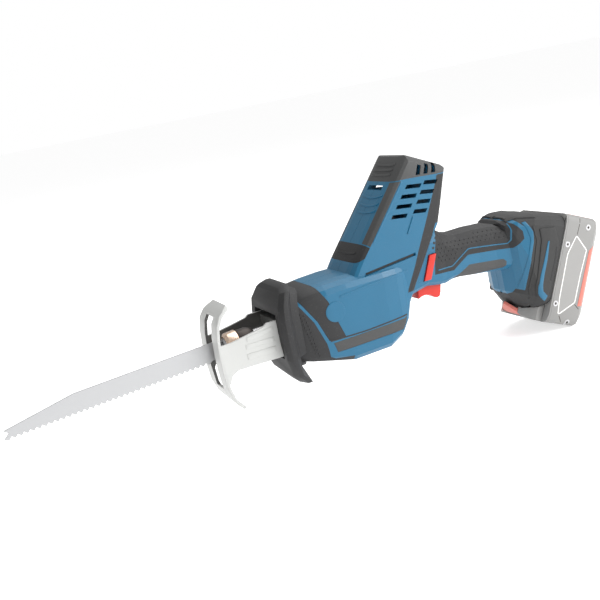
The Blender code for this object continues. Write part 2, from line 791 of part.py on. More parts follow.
def blade():
    """The saw blade in the stroke's frame, teeth down, with a tapered nose and a tang in the clamp."""
    half = BLADE_WIDTH / 2
    teeth_end = BLADE_TIP + 4.0
    outline = [(CLAMP_FRONT + 18, 4.5), (CLAMP_FRONT + 3, 4.5), (CLAMP_FRONT - 4, half),
               (BLADE_TIP + 62, half), (BLADE_TIP + 1.5, -half + 8.6), (BLADE_TIP + 5, -half + 5.6),
               (BLADE_TIP, -half + 1.2)]
    x = teeth_end
    while x + BLADE_PITCH < CLAMP_FRONT - 12:
        outline.append((x, -half))
        outline.append((x + BLADE_PITCH * 0.45, -half + TOOTH_DEPTH))
        x += BLADE_PITCH
    outline += [(x, -half), (x + 4, -half + TOOTH_DEPTH), (CLAMP_FRONT - 4, -half + TOOTH_DEPTH),
                (CLAMP_FRONT + 3, -4.5), (CLAMP_FRONT + 18, -4.5)]
    return prism(outline, -BLADE_THICK / 2, BLADE_THICK / 2)


# ---------------------------------------------------------------- plunger and clamp

YOKE_CENTRE = STROKE_REAR - CRANK_RADIUS
YOKE_Y = -13.0           # face of the yoke towards the crank
YOKE_THICK = 4.5
PIN_R = 2.5
ROLLER_R = 5.0
BLOCK_REAR = -40.0
BLOCK_FRONT = -48.0


def plunger():
    """The reciprocating rod with its offset yoke beside the crank."""
    centre = -YOKE_CENTRE
    y0, y1 = YOKE_Y - YOKE_THICK, YOKE_Y
    frame = box(centre - 10, centre + 10, y0, y1, -20, 20)
    slot = box(centre - ROLLER_R - 0.4, centre + ROLLER_R + 0.4, y0 - 1, y1 + 1, -16, 16)
    arm = box(BLOCK_FRONT, centre - 8, y0, y1, -8, 8)
    block = box(BLOCK_FRONT, BLOCK_REAR, y0, 7.0, -8, 8)
    bar = rod(CLAMP_REAR - 6, BLOCK_REAR - 1, PLUNGER_R, ROUND, "X")
    return cut(joined(cut(frame, slot), arm, block, bar), rod(-56, BLOCK_REAR + 1, 3.0, 12, "X"))


def clamp_body():
    """The steel clamp on the plunger's nose, slotted for the blade's tang."""
    body = turned([(CLAMP_FRONT, 0), (CLAMP_FRONT, CLAMP_R - 1.5), (CLAMP_FRONT + 1.5, CLAMP_R),
                   (CLAMP_REAR, CLAMP_R), (CLAMP_REAR, 0)])
    tang = box(CLAMP_FRONT - 1, CLAMP_FRONT + 18 + GAP, -BLADE_THICK / 2 - GAP, BLADE_THICK / 2 + GAP,
               -CLAMP_R - 1, CLAMP_R + 1)
    bore = rod(CLAMP_REAR - 6 - GAP, CLAMP_REAR + 1, PLUNGER_R + RUN)
    return cut(body, tang, bore)


def clamp_sleeve():
    """The release sleeve that turns round the clamp."""
    inner = CLAMP_R + GAP
    profile = [(CLAMP_FRONT + 1.5, inner), (CLAMP_FRONT + 1.5, SLEEVE_R - 2.5), (CLAMP_FRONT + 4, SLEEVE_R - 0.4),
               (CLAMP_FRONT + 13, SLEEVE_R), (CLAMP_FRONT + 14, SLEEVE_R - 1.2), (CLAMP_FRONT + 14, inner)]
    return turned(profile, 28)


def clamp_ring():
    """The dark cover behind the sleeve, fixed to the clamp."""
    inner = CLAMP_R + RUN
    start = CLAMP_FRONT + 14 + GAP
    profile = [(start, inner), (start, SLEEVE_R - 1.2), (CLAMP_REAR - 6, SLEEVE_R - 1.2),
               (CLAMP_REAR, SLEEVE_R - 3.5), (CLAMP_REAR, inner)]
    return turned(profile, 28)


# ---------------------------------------------------------------- gear case and drive

FRONT_BUSH = (-94.0, -82.0)
REAR_BUSH = (-68.0, -57.0)
MOTOR_BEARING_R = 8.0
SHAFT_BEARING_R = 8.5
GEAR_SHAFT_R = 4.0
FAN_START = 33.0
FAN_END = 40.0


def fan_room():
    """The space above the gear case that the fan's side of the motor needs, in the stroke's frame."""
    return moved(box(-FAR, FAR, -FAR, FAR, FAN_START - 1, FAR), STROKE.inverted() @ MOTOR)


def gear_case():
    """The cast case: an open-sided box round the crank and yoke, with a neck for the plunger."""
    body = box(CASE_FRONT, CASE_REAR, CASE_LEFT, CASE_RIGHT, -CASE_HALF_HEIGHT, CASE_HALF_HEIGHT)
    neck = box(NECK_FRONT, CASE_FRONT + 0.3, -NECK_HALF, NECK_HALF, -12.5, 12.5)
    guide_half = SHOE_HALF - SHOE_ARM_THICK - GAP
    guide = box(NECK_FRONT, CASE_FRONT - GAP, -guide_half, guide_half, -12.5, 12.5)
    boss = moved(moved(rod(21.9, 31, 11.0, ROUND, "Z"), MOTOR), STROKE.inverted())
    room = box(CASE_FRONT + 0.5, CASE_REAR - CASE_WALL, CASE_LEFT - 1, CASE_RIGHT - CASE_WALL,
               -CASE_HALF_HEIGHT + CASE_WALL, CASE_HALF_HEIGHT - CASE_WALL)
    to_case = STROKE.inverted() @ MOTOR
    shaft_hole = moved(rod(12, 35, 6.2, ROUND, "Z"), to_case)
    seat = moved(rod(23.6, 35, MOTOR_BEARING_R + RUN, ROUND, "Z"), to_case)
    bore = rod(NECK_FRONT - 1, CASE_FRONT + 3, PLUNGER_R + 0.6)
    front_seat = rod(FRONT_BUSH[0] - GAP, FRONT_BUSH[1] + GAP, BUSH_R + RUN)
    front_way = rod(NECK_FRONT - 1, FRONT_BUSH[0] + 1, BUSH_R + RUN)
    rear_seat = rod(REAR_BUSH[0] - GAP, CASE_FRONT + 1, BUSH_R + RUN)
    bearing_seat = rod(5, CASE_RIGHT - CASE_WALL + 1, SHAFT_BEARING_R + RUN, ROUND, "Y")
    bearing_boss = rod(7.5, CASE_RIGHT - CASE_WALL + 0.5, SHAFT_BEARING_R + 2.5, ROUND, "Y")
    walls = joined(cut(body, room, fan_room()), neck, guide, boss)
    walls = joined(walls, cut(bearing_boss, shifted(bearing_seat, 0, -0.5, 0)))
    return cut(walls, shaft_hole, seat, bore, front_seat, front_way, rear_seat)


def case_cover():
    """The plate that closes the case's open side."""
    y1 = CASE_LEFT - GAP
    plate = box(CASE_FRONT, CASE_REAR, y1 - COVER_THICK, y1, -CASE_HALF_HEIGHT, CASE_HALF_HEIGHT)
    hole = rod(y1 - COVER_THICK - 1, y1 + 1, 6.0, 12, "Y")
    return cut(plate, hole, fan_room())


def crank_gear():
    """The face gear with its shaft and a short crank pin; radial teeth stand on the side by the pinion."""
    disc = turned([(GEAR_FACE_Y - GEAR_THICK, 0), (GEAR_FACE_Y - GEAR_THICK, GEAR_R), (GEAR_FACE_Y, GEAR_R),
                   (GEAR_FACE_Y, GEAR_SHAFT_R), (CASE_RIGHT - CASE_WALL - GAP, GEAR_SHAFT_R),
                   (CASE_RIGHT - CASE_WALL - GAP, 0)], 36, "Y")
    pin_y = YOKE_Y + GAP
    height = math.sqrt(CRANK_RADIUS ** 2 - YOKE_CENTRE ** 2)
    pin = shifted(rod(pin_y, GEAR_FACE_Y - GEAR_THICK + 1, PIN_R, 12, "Y"), -YOKE_CENTRE, 0, height)
    towards = STROKE.inverted().to_3x3() @ MOTOR.to_3x3() @ Vector((0, 0, 1))
    first = math.atan2(-towards.z, towards.x)
    teeth = [face_tooth(first + 2 * math.pi * i / GEAR_TEETH) for i in range(GEAR_TEETH)]
    return joined(disc, pin, *teeth)


def face_tooth(turn):
    """One tapered tooth of the face gear, from its inner to its outer radius."""
    rings = []
    for radius, root_half, tip_half in ((TOOTH_IN, 0.50, 0.22), (TOOTH_OUT, 0.85, 0.38)):
        ring = []
        for across, y in ((-root_half, GEAR_FACE_Y - 0.5), (root_half, GEAR_FACE_Y - 0.5),
                          (tip_half, GEAR_FACE_Y + TOOTH_HEIGHT), (-tip_half, GEAR_FACE_Y + TOOTH_HEIGHT)):
            ring.append((radius, y, across))
        rings.append(ring)
    tooth = loft(rings)
    return moved(tooth, Matrix.Rotation(turn, 4, "Y"))


def crank_roller():
    """The roller on the crank pin, beside the yoke's slot."""
    height = math.sqrt(CRANK_RADIUS ** 2 - YOKE_CENTRE ** 2)
    y0 = YOKE_Y + GAP
    y1 = GEAR_FACE_Y - GEAR_THICK - GAP
    return shifted(tube(y0, y1, PIN_R + RUN, ROLLER_R, 16, "Y"), -YOKE_CENTRE, 0, height)


def motor_shaft():
    """The motor's shaft with the pinion's teeth cut on its end."""
    tip_r = MODULE * PINION_TEETH / 2 + 0.85
    root_r = MODULE * PINION_TEETH / 2 - 1.15
    outline = []
    for i in range(PINION_TEETH):
        for share, radius in ((-0.30, root_r), (-0.12, tip_r), (0.12, tip_r), (0.30, root_r)):
            turn = 2 * math.pi * (i + share + 0.5) / PINION_TEETH
            outline.append((radius * math.cos(turn), radius * math.sin(turn)))
    pinion = loft([[(x, y, s) for x, y in outline] for s in (TOOTH_IN, TOOTH_OUT)])
    return joined(pinion, rod(TOOTH_OUT - 1, 78, SHAFT_R, ROUND, "Z"))


def fan():
    """The cooling fan: a hub, a back plate and radial blades."""
    hub = tube(FAN_START, FAN_END, SHAFT_R + RUN, 6.0, ROUND, "Z")
    plate = tube(FAN_END - 1.6, FAN_END, 5.0, 19.0, ROUND, "Z")
    blades = []
    for i in range(9):
        vane = box(5.0, 18.6, -0.7, 0.7, FAN_START + 0.6, FAN_END - 1)
        blades.append(moved(vane, Matrix.Rotation(2 * math.pi * i / 9, 4, "Z")))
    return joined(hub, plate, *blades)


def motor_can():
    """The motor's can with end walls and a seat for the rear bearing."""
    inner = CAN_R - 1.8
    profile = [(CAN_START, 5.0), (CAN_START, CAN_R), (CAN_END, CAN_R), (CAN_END, 9.0), (CAN_END + 5, 9.0),
               (CAN_END + 5, 6.6), (CAN_END + 0.2, 6.6), (CAN_END + 0.2, 4.0), (CAN_END - 2, 4.0),
               (CAN_END - 2, inner), (CAN_START + 2, inner), (CAN_START + 2, 5.0)]
    return turned(profile, 32, "Z")


def rotor():
    """The armature: laminated core, winding heads and commutator in one turned outline."""
    r = SHAFT_R + RUN
    profile = [(CAN_START + 3, r), (CAN_START + 3, 8), (CAN_START + 4.5, 11.5), (CAN_START + 7, 12),
               (CAN_START + 7, 14), (CAN_END - 10, 14), (CAN_END - 10, 12), (CAN_END - 8, 11), (CAN_END - 7, 7),
               (CAN_END - 3, 7), (CAN_END - 3, r)]
    return turned(profile, ROUND, "Z")


def magnet(side):
    """A field magnet against the can's wall."""
    ring = tube(CAN_START + 5, CAN_END - 9, 14.8, CAN_R - 1.8 - GAP, 32, "Z")
    return shared(ring, box(-13, 13, *sorted((side * 4, side * 30)), 0, 100))


# ---------------------------------------------------------------- trigger, switch, lock-off

def trigger():
    """The trigger with its finger curve; the upper part slides in the handle."""
    outline = [(TRIGGER_FRONT, -14.0), (TRIGGER_FRONT + 1, 6), (TRIGGER_REAR - 1, 6), (TRIGGER_REAR, -6),
               (157.6, -13.0), (156.2, -17.0), (153.0, -17.8), (149.5, -16.4), (145.5, -13.2), (141, -11.8),
               (136, -12.2)]
    return prism(outline, -TRIGGER_HALF, TRIGGER_HALF)


def lock_off():
    """The lock-off: a pad on each side of the handle, joined by a bar through it."""
    reach = 19.5 + LOCK_PROUD
    pads = [prism(LOCK_OUTLINE, *sorted((side * 15.5, side * reach))) for side in (-1, 1)]
    bar = box(141.5, 145.4, -16.5, 16.5, 15.5, 23.0)
    return joined(bar, *pads)


# ---------------------------------------------------------------- battery pack

def pack_case():
    """The pack's outer tub, open towards its cover."""
    rings = []
    for v, trim in ((PACK_SPLIT, 0), (PACK_BACK - 7, 0), (PACK_BACK, 5)):
        outline = rounded(PACK_HALF - trim, PACK_LOW + trim, PACK_HIGH - trim, (6, 7), (7, 9), 2)
        rings.append([(v, y, u) for y, u in outline])
    body = loft(rings)
    room = box(PACK_SPLIT - 1, PACK_BACK - 3, -CELL_HALF - GAP, CELL_HALF + GAP, PACK_LOW + 5, PACK_HIGH - 5)
    return cut(body, room)


TOE_START = 235.5        # where the toe's swept corners meet
TOE_SWEEP = 0.75


def sweep(body):
    """Cut the front corners back at an angle, like the foot above."""
    for slope in (-TOE_SWEEP, TOE_SWEEP):
        normal = Vector((-1.0, slope, 0.0))
        trim(body, normal.normalized(), -TOE_START / normal.length)


def pack_cover():
    """The cover with the tongue that slides into the foot, and the toe that holds the release button."""
    outline = rounded(PACK_HALF, PACK_LOW, PACK_HIGH, (6, 7), (7, 9), 2)
    plate = loft([[(v, y, u) for y, u in outline] for v in (PACK_FACE + GAP, PACK_SPLIT - GAP)])
    tongue = box(PACK_FACE - TONGUE_DEPTH, PACK_FACE + 1, -TONGUE_HALF, TONGUE_HALF, 62, 124)
    toe = prism([(PACK_FACE + 1, PACK_LOW), (PACK_FACE + 1, 49.3), (PACK_FACE + GAP, 49.3), (247, 42.2),
                 (237, 46.5), (235.2, 44.3), (240, 39.6), (247, 35.0), (254, 32.6)], -28, 28)
    sweep(toe)
    button_room = box(220, 256.5, -12.5, 12.5, 30, 60)
    return cut(joined(plate, tongue, toe), button_room)


def release_button():
    """The pack's release button, pushed towards the pack."""
    button = prism([(234.6, 44.0), (236.5, 46.0), (244, 41.4), (252.8, 41.2), (252.8, 34.2), (247, 36.0),
                    (240, 40.4)], -12, 12)
    sweep(button)
    return button


# ---------------------------------------------------------------- assembly

def make_drive(stroke, motor):
    piece("gear_case", gear_case(), "cast_alloy", stroke)
    piece("gear_case_cover", case_cover(), "cast_alloy", stroke)
    piece("front_bush", tube(*FRONT_BUSH, PLUNGER_R + RUN, BUSH_R), "bronze", stroke)
    piece("rear_bush", tube(*REAR_BUSH, PLUNGER_R + RUN, BUSH_R), "bronze", stroke)
    seal_end = FRONT_BUSH[0] - GAP
    piece("plunger_seal", tube(NECK_FRONT + 0.4, seal_end, PLUNGER_R + RUN, BUSH_R), "dark_rubber", stroke)
    piece("plunger", plunger(), "steel", stroke)
    piece("clamp_body", clamp_body(), "steel", stroke)
    piece("clamp_sleeve", clamp_sleeve(), "copper_finish", stroke)
    piece("clamp_ring", clamp_ring(), "dark_steel", stroke)
    piece("blade", blade(), "blade_steel", stroke)
    piece("crank_gear", crank_gear(), "steel", stroke)
    piece("crank_roller", crank_roller(), "steel", stroke)
    bearing = tube(8.2, CASE_RIGHT - CASE_WALL - GAP, GEAR_SHAFT_R + RUN, SHAFT_BEARING_R, ROUND, "Y")
    piece("crank_bearing", bearing, "steel", stroke)
    piece("motor_shaft", motor_shaft(), "steel", motor)
    front = tube(24, 29, SHAFT_R + RUN, MOTOR_BEARING_R, ROUND, "Z")
    piece("front_motor_bearing", front, "steel", motor)
    rear = tube(CAN_END + 0.5, CAN_END + 3.7, SHAFT_R + RUN, 6.5, ROUND, "Z")
    piece("rear_motor_bearing", rear, "steel", motor)
    piece("fan", fan(), "black_plastic", motor)
    piece("motor_can", motor_can(), "steel", motor)
    piece("rotor", rotor(), "copper_winding", motor)
    for name, side in (("left", -1), ("right", 1)):
        piece(f"magnet_{name}", magnet(side), "dark_steel", motor)


def make_front(root):
    piece("hand_guard", hand_guard(), "dark_rubber", root)
    piece("shoe", shoe(), "white_casting", root)


def make_controls(root):
    piece("trigger", trigger(), "red_plastic", root)
    piece("lock_off", lock_off(), "red_plastic", root)
    piece("switch", padded(SWITCH, 0), "black_plastic", root)
    piece("electronics", padded(ELECTRONICS, 0), "black_plastic", root)


def make_pack(root, pack):
    piece("terminal_block", padded(TERMINALS, 0), "black_plastic", pack)
    piece("pack_case", pack_case(), "grey_plastic", pack)
    piece("pack_cover", pack_cover(), "grey_plastic", pack)
    piece("release_button", release_button(), "pale_red_plastic", pack)
    middle = (PACK_LOW + PACK_HIGH) / 2
    for row in range(2):
        for column in range(5):
            cell = rod(-CELL_HALF, CELL_HALF, CELL_R, 12, "Y")
            v = PACK_SPLIT + GAP + CELL_R + CELL_STEP * row
            u = middle + CELL_PITCH * (column - 2)
            piece(f"cell_{row * 5 + column + 1}", shifted(cell, v, 0, u), "cell_wrap", pack)


def stand_on_origin(root):
    """Moves the tool so that its box stands with the middle of its base at the origin."""
    bpy.context.view_layer.update()
    corners = []
    for item in bpy.context.scene.objects:
        if item.type == "MESH":
            corners += [item.matrix_world @ v.co for v in item.data.vertices]
    low = [min(c[i] for c in corners) for i in range(3)]
    high = [max(c[i] for c in corners) for i in range(3)]
    root.location = (-(low[0] + high[0]) / 2, -(low[1] + high[1]) / 2, -low[2])
    bpy.context.view_layer.update()


def main():
    for item in list(bpy.data.objects):
        bpy.data.objects.remove(item)
    root = empty("saw", TOOL, None)
    stroke = empty("stroke_axis", STROKE, root)
    motor = empty("motor_axis", MOTOR, root)
    pack = empty("pack_axis", PACK, root)
    make_shells(root)
    make_front(root)
    make_drive(stroke, motor)
    make_controls(root)
    make_pack(root, pack)
    stand_on_origin(root)


main()
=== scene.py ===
"""Finishes and surface detail for a cordless reciprocating saw, built over its engineering model."""

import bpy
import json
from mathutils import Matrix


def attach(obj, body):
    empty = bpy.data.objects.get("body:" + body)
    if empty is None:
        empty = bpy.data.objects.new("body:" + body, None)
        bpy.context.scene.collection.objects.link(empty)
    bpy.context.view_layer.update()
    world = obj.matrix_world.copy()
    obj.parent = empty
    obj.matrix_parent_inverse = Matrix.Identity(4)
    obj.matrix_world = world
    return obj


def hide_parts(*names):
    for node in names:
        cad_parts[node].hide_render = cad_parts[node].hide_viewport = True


bl_info = {
    "name": "Reciprocating Saw",
    "version": (1, 0, 0),
    "blender": (4, 5, 0),
    "location": "3D View > Sidebar > Saw",
    "description": "Adds finishes, grips, ribs, screws and a studio stage to the saw's engineering model",
    "category": "Object",
}

import json
import math

import bpy
from mathutils import Matrix, Vector
from mathutils.bvhtree import BVHTree

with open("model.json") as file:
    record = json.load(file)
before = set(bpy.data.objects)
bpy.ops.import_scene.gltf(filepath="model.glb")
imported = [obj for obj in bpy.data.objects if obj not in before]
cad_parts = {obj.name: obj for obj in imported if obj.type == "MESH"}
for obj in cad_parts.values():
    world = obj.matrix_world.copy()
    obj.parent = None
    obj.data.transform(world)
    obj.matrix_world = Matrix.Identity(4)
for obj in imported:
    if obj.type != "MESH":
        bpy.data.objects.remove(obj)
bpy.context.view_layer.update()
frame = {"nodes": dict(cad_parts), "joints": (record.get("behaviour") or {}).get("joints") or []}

NODES = frame["nodes"]
JOINTS = {joint["name"]: joint for joint in frame["joints"]}
MM = 0.001
CRANK = Vector(JOINTS["crank_spin"]["pos_m"])
CRANK_IN_TOOL = Vector((79.5, 0.0, 2.8))
PACK_BACK = Vector(JOINTS["button_press"]["axis"])
PACK_UP = -Vector(JOINTS["pack_slide"]["axis"])
SIDES = ((-1, "left"), (1, "right"))   # -1 is the near side


def at(x, y, z):
    """A place in the frame, from the tool's own millimetres: x towards the rear, y across, z up."""
    return CRANK + (Vector((x, y, z)) - CRANK_IN_TOOL) * MM


def on_pack(u, y, v):
    """A place on the battery pack: u along its rails, v towards its back, in millimetres."""
    start = at(0, 0, 0)
    return start + PACK_UP * (u * MM) + PACK_BACK * (v * MM) + Vector((0, y * MM, 0))


# ---------------------------------------------------------------- sizes and colours

class SawFinishSettings(bpy.types.PropertyGroup):
    """Colours of the saw's mouldings and metals."""
    shell: bpy.props.FloatVectorProperty(
        name="Shell", description="Colour of the moulded shell", subtype="COLOR",
        default=(0.009, 0.125, 0.235), min=0, max=1)
    rubber: bpy.props.FloatVectorProperty(
        name="Rubber", description="Colour of the dark overmoulding", subtype="COLOR",
        default=(0.018, 0.018, 0.019), min=0, max=1)
    # Painted light: the same rubber as the dark one, set lighter for the parts whose sides catch the light.
    rubber_with_painted_light: bpy.props.FloatVectorProperty(
        name="Pale rubber", description="Colour of the grey overmoulding", subtype="COLOR",
        default=(0.058, 0.059, 0.059), min=0, max=1)
    control: bpy.props.FloatVectorProperty(
        name="Controls", description="Colour of the trigger and lock", subtype="COLOR",
        default=(0.620, 0.022, 0.010), min=0, max=1)
    casting: bpy.props.FloatVectorProperty(
        name="Shoe", description="Colour of the coated shoe", subtype="COLOR",
        default=(0.560, 0.565, 0.550), min=0, max=1)
    pack: bpy.props.FloatVectorProperty(
        name="Pack", description="Colour of the battery pack", subtype="COLOR",
        default=(0.265, 0.262, 0.255), min=0, max=1)
    pack_accent: bpy.props.FloatVectorProperty(
        name="Pack accent", description="Colour of the pack's accent strip", subtype="COLOR",
        default=(0.640, 0.180, 0.140), min=0, max=1)


class SawDetailSettings(bpy.types.PropertyGroup):
    """Sizes of the saw's surface detail."""
    dot_radius: bpy.props.FloatProperty(
        name="Dot radius", description="Radius of a raised grip dot", subtype="DISTANCE", default=0.00085)
    dot_height: bpy.props.FloatProperty(
        name="Dot height", description="How far a grip dot stands proud", subtype="DISTANCE", default=0.00045)


class SawStageSettings(bpy.types.PropertyGroup):
    """The studio stage: its floor and its lights."""
    floor: bpy.props.FloatVectorProperty(
        name="Floor", description="Colour of the floor", subtype="COLOR", default=(0.95, 0.95, 0.95),
        min=0, max=1)
    glow: bpy.props.FloatProperty(name="Glow", description="How far the floor lights itself", default=0.5)
    key: bpy.props.FloatProperty(name="Key light", description="Power of the key light", default=21.0)
    fill: bpy.props.FloatProperty(name="Fill light", description="Power of the fill light", default=0.8)
    top: bpy.props.FloatProperty(name="Top light", description="Power of the light overhead", default=22.0)
    sky: bpy.props.FloatProperty(name="Sky", description="Strength of the surrounding light", default=0.50)


def finishes():
    return bpy.context.scene.saw_finishes


def details():
    return bpy.context.scene.saw_details


# ---------------------------------------------------------------- node groups and materials

def group(name, inputs, outputs):
    """An empty shader group with named sockets; each input is (name, kind, default)."""
    tree = bpy.data.node_groups.new(name, "ShaderNodeTree")
    for label, kind, default in inputs:
        socket = tree.interface.new_socket(label, in_out="INPUT", socket_type=kind)
        socket.default_value = default
    for label, kind in outputs:
        tree.interface.new_socket(label, in_out="OUTPUT", socket_type=kind)
    return tree, tree.nodes.new("NodeGroupInput"), tree.nodes.new("NodeGroupOutput")


def grain_group():
    """Moulded grain: a fine pebble over a slow ripple, as a height."""
    found = bpy.data.node_groups.get("moulded_grain")
    if found:
        return found
    tree, start, end = group(
        "moulded_grain", [("Size", "NodeSocketFloat", 900.0), ("Ripple", "NodeSocketFloat", 0.3)],
        [("Height", "NodeSocketFloat")])
    place = tree.nodes.new("ShaderNodeTexCoord")
    fine = tree.nodes.new("ShaderNodeTexVoronoi")
    slow = tree.nodes.new("ShaderNodeTexNoise")
    slow.inputs["Scale"].default_value = 90.0
    slow.inputs["Detail"].default_value = 3.0
    mix = tree.nodes.new("ShaderNodeMix")
    tree.links.new(place.outputs["Object"], fine.inputs["Vector"])
    tree.links.new(place.outputs["Object"], slow.inputs["Vector"])
    tree.links.new(start.outputs["Size"], fine.inputs["Scale"])
    tree.links.new(start.outputs["Ripple"], mix.inputs[0])
    tree.links.new(fine.outputs["Distance"], mix.inputs[2])
    tree.links.new(slow.outputs["Fac"], mix.inputs[3])
    tree.links.new(mix.outputs[0], end.inputs["Height"])
    return tree


def tone_group():
    """A colour that drifts a little lighter and darker over the surface, with faint dust."""
    found = bpy.data.node_groups.get("tone_drift")
    if found:
        return found
    tree, start, end = group(
        "tone_drift",
        [("Colour", "NodeSocketColor", (0.5, 0.5, 0.5, 1.0)), ("Drift", "NodeSocketFloat", 0.1),
         ("Dust", "NodeSocketFloat", 0.03)],
        [("Colour", "NodeSocketColor"), ("Mask", "NodeSocketFloat")])
    place = tree.nodes.new("ShaderNodeTexCoord")
    slow = tree.nodes.new("ShaderNodeTexNoise")
    slow.inputs["Scale"].default_value = 38.0
    slow.inputs["Detail"].default_value = 5.0
    specks = tree.nodes.new("ShaderNodeTexNoise")
    specks.inputs["Scale"].default_value = 620.0
    specks.inputs["Detail"].default_value = 2.0
    shift = tree.nodes.new("ShaderNodeMapRange")
    shift.inputs["To Min"].default_value = -1.0
    shift.inputs["To Max"].default_value = 1.0
    amount = tree.nodes.new("ShaderNodeMath")
    amount.operation = "MULTIPLY"
    value = tree.nodes.new("ShaderNodeMath")
    value.operation = "ADD"
    value.inputs[1].default_value = 1.0
    tint = tree.nodes.new("ShaderNodeHueSaturation")
    speck_range = tree.nodes.new("ShaderNodeMapRange")
    speck_range.inputs["From Min"].default_value = 0.62
    speck_range.inputs["From Max"].default_value = 0.80
    dust = tree.nodes.new("ShaderNodeMath")
    dust.operation = "MULTIPLY"
    over = tree.nodes.new("ShaderNodeMix")
    over.data_type = "RGBA"
    over.inputs[7].default_value = (0.62, 0.60, 0.57, 1.0)
    link = tree.links.new
    link(place.outputs["Object"], slow.inputs["Vector"])
    link(place.outputs["Object"], specks.inputs["Vector"])
    link(slow.outputs["Fac"], shift.inputs["Value"])
    link(shift.outputs["Result"], amount.inputs[0])
    link(start.outputs["Drift"], amount.inputs[1])
    link(amount.outputs[0], value.inputs[0])
    link(value.outputs[0], tint.inputs["Value"])
    link(start.outputs["Colour"], tint.inputs["Color"])
    link(specks.outputs["Fac"], speck_range.inputs["Value"])
    link(speck_range.outputs["Result"], dust.inputs[0])
    link(start.outputs["Dust"], dust.inputs[1])
    link(dust.outputs[0], over.inputs[0])
    link(tint.outputs["Color"], over.inputs[6])
    link(over.outputs[2], end.inputs["Colour"])
    link(slow.outputs["Fac"], end.inputs["Mask"])
    return tree


def brushed_group():
    """Fine parallel grinding lines along one direction, as a height and a mask."""
    found = bpy.data.node_groups.get("brushed_lines")
    if found:
        return found
    tree, start, end = group(
        "brushed_lines",
        [("Stretch", "NodeSocketVector", (40.0, 900.0, 900.0)),
         ("Turn", "NodeSocketVector", (0.0, 0.0, 0.0))],
        [("Height", "NodeSocketFloat"), ("Mask", "NodeSocketFloat")])
    place = tree.nodes.new("ShaderNodeTexCoord")
    turn = tree.nodes.new("ShaderNodeMapping")
    lines = tree.nodes.new("ShaderNodeTexNoise")
    lines.inputs["Scale"].default_value = 1.0
    lines.inputs["Detail"].default_value = 4.0
    tree.links.new(place.outputs["Object"], turn.inputs["Vector"])
    tree.links.new(start.outputs["Turn"], turn.inputs["Rotation"])
    tree.links.new(start.outputs["Stretch"], turn.inputs["Scale"])
    tree.links.new(turn.outputs["Vector"], lines.inputs["Vector"])
    tree.links.new(lines.outputs["Fac"], end.inputs["Height"])
    tree.links.new(lines.outputs["Fac"], end.inputs["Mask"])
    return tree


def place_group(material, tree, values):
    node = material.node_tree.nodes.new("ShaderNodeGroup")
    node.node_tree = tree
    for name, value in values.items():
        node.inputs[name].default_value = value
    return node


def shaded(name, colour, roughness, metallic, drift, dust):
    """A material whose colour drifts over the surface and whose roughness follows the same drift."""
    material = bpy.data.materials.new(name)
    material.use_nodes = True
    nodes = material.node_tree.nodes
    link = material.node_tree.links.new
    shader = nodes["Principled BSDF"]
    shader.inputs["Metallic"].default_value = metallic
    tone = place_group(material, tone_group(), {"Colour": (*colour, 1.0), "Drift": drift, "Dust": dust})
    spread = nodes.new("ShaderNodeMapRange")
    spread.inputs["To Min"].default_value = roughness - 0.07
    spread.inputs["To Max"].default_value = roughness + 0.07
    link(tone.outputs["Colour"], shader.inputs["Base Color"])
    link(tone.outputs["Mask"], spread.inputs["Value"])
    link(spread.outputs["Result"], shader.inputs["Roughness"])
    return material


def bumped(material, height_node, output, strength, distance):
    bump = material.node_tree.nodes.new("ShaderNodeBump")
    bump.inputs["Strength"].default_value = strength
    bump.inputs["Distance"].default_value = distance
    shader = material.node_tree.nodes["Principled BSDF"]
    material.node_tree.links.new(height_node.outputs[output], bump.inputs["Height"])
    material.node_tree.links.new(bump.outputs["Normal"], shader.inputs["Normal"])
    return material


def moulded(name, colour, roughness, size=1100.0, depth=0.00006, drift=0.06, dust=0.02):
    """A moulded plastic or rubber with a pebbled grain."""
    material = shaded(name, colour, roughness, 0.0, drift, dust)
    grain = place_group(material, grain_group(), {"Size": size, "Ripple": 0.25})
    return bumped(material, grain, "Height", 0.55, depth)


def ground(name, colour, roughness, stretch, turn=0.0, depth=0.00004, drift=0.06):
    """A ground or drawn metal with parallel lines."""
    material = shaded(name, colour, roughness, 1.0, drift, 0.0)
    lines = place_group(material, brushed_group(), {"Stretch": stretch, "Turn": (0.0, turn, 0.0)})
    return bumped(material, lines, "Height", 0.35, depth)


def kept(name, maker):
    """The material of that name, made the first time it is wanted."""
    return bpy.data.materials.get(name) or maker(name)


def shell_plastic():
    return kept("shell_plastic", lambda n: moulded(n, finishes().shell, 0.40, size=1500.0, depth=0.00004))


def dark_rubber():
    return kept("soft_dark_rubber", lambda n: moulded(n, finishes().rubber, 0.62, size=900.0, depth=0.00010,
                                                      drift=0.14, dust=0.05))


# The rubber's own dark grey lifted lighter: painted light for the bumpers, side bands, lower grip and cap.
def rubber_with_painted_light():
    return kept("soft_grey_rubber", lambda n: moulded(n, finishes().rubber_with_painted_light, 0.60, size=900.0,
                                                      depth=0.00010, drift=0.10, dust=0.04))


def control_plastic():
    return kept("control_plastic", lambda n: moulded(n, finishes().control, 0.36, size=1600.0,
                                                     depth=0.00002, drift=0.03, dust=0.01))


def coated_casting():
    return kept("coated_casting", lambda n: moulded(n, finishes().casting, 0.38, size=700.0, depth=0.00008,
                                                    drift=0.03, dust=0.0))


def raw_casting():
    return kept("raw_casting", bumped_casting)


def bumped_casting(name):
    material = shaded(name, (0.50, 0.50, 0.49), 0.46, 1.0, 0.12, 0.0)
    grain = place_group(material, grain_group(), {"Size": 500.0, "Ripple": 0.5})
    return bumped(material, grain, "Height", 0.7, 0.00012)


def blade_steel():
    return kept("blade_steel", lambda n: ground(n, (0.33, 0.335, 0.345), 0.40, (30.0, 1500.0, 1500.0),
                                                turn=0.0569, depth=0.00003, drift=0.04))


def bright_steel():
    return kept("bright_steel", lambda n: ground(n, (0.55, 0.55, 0.56), 0.28, (60.0, 900.0, 900.0)))


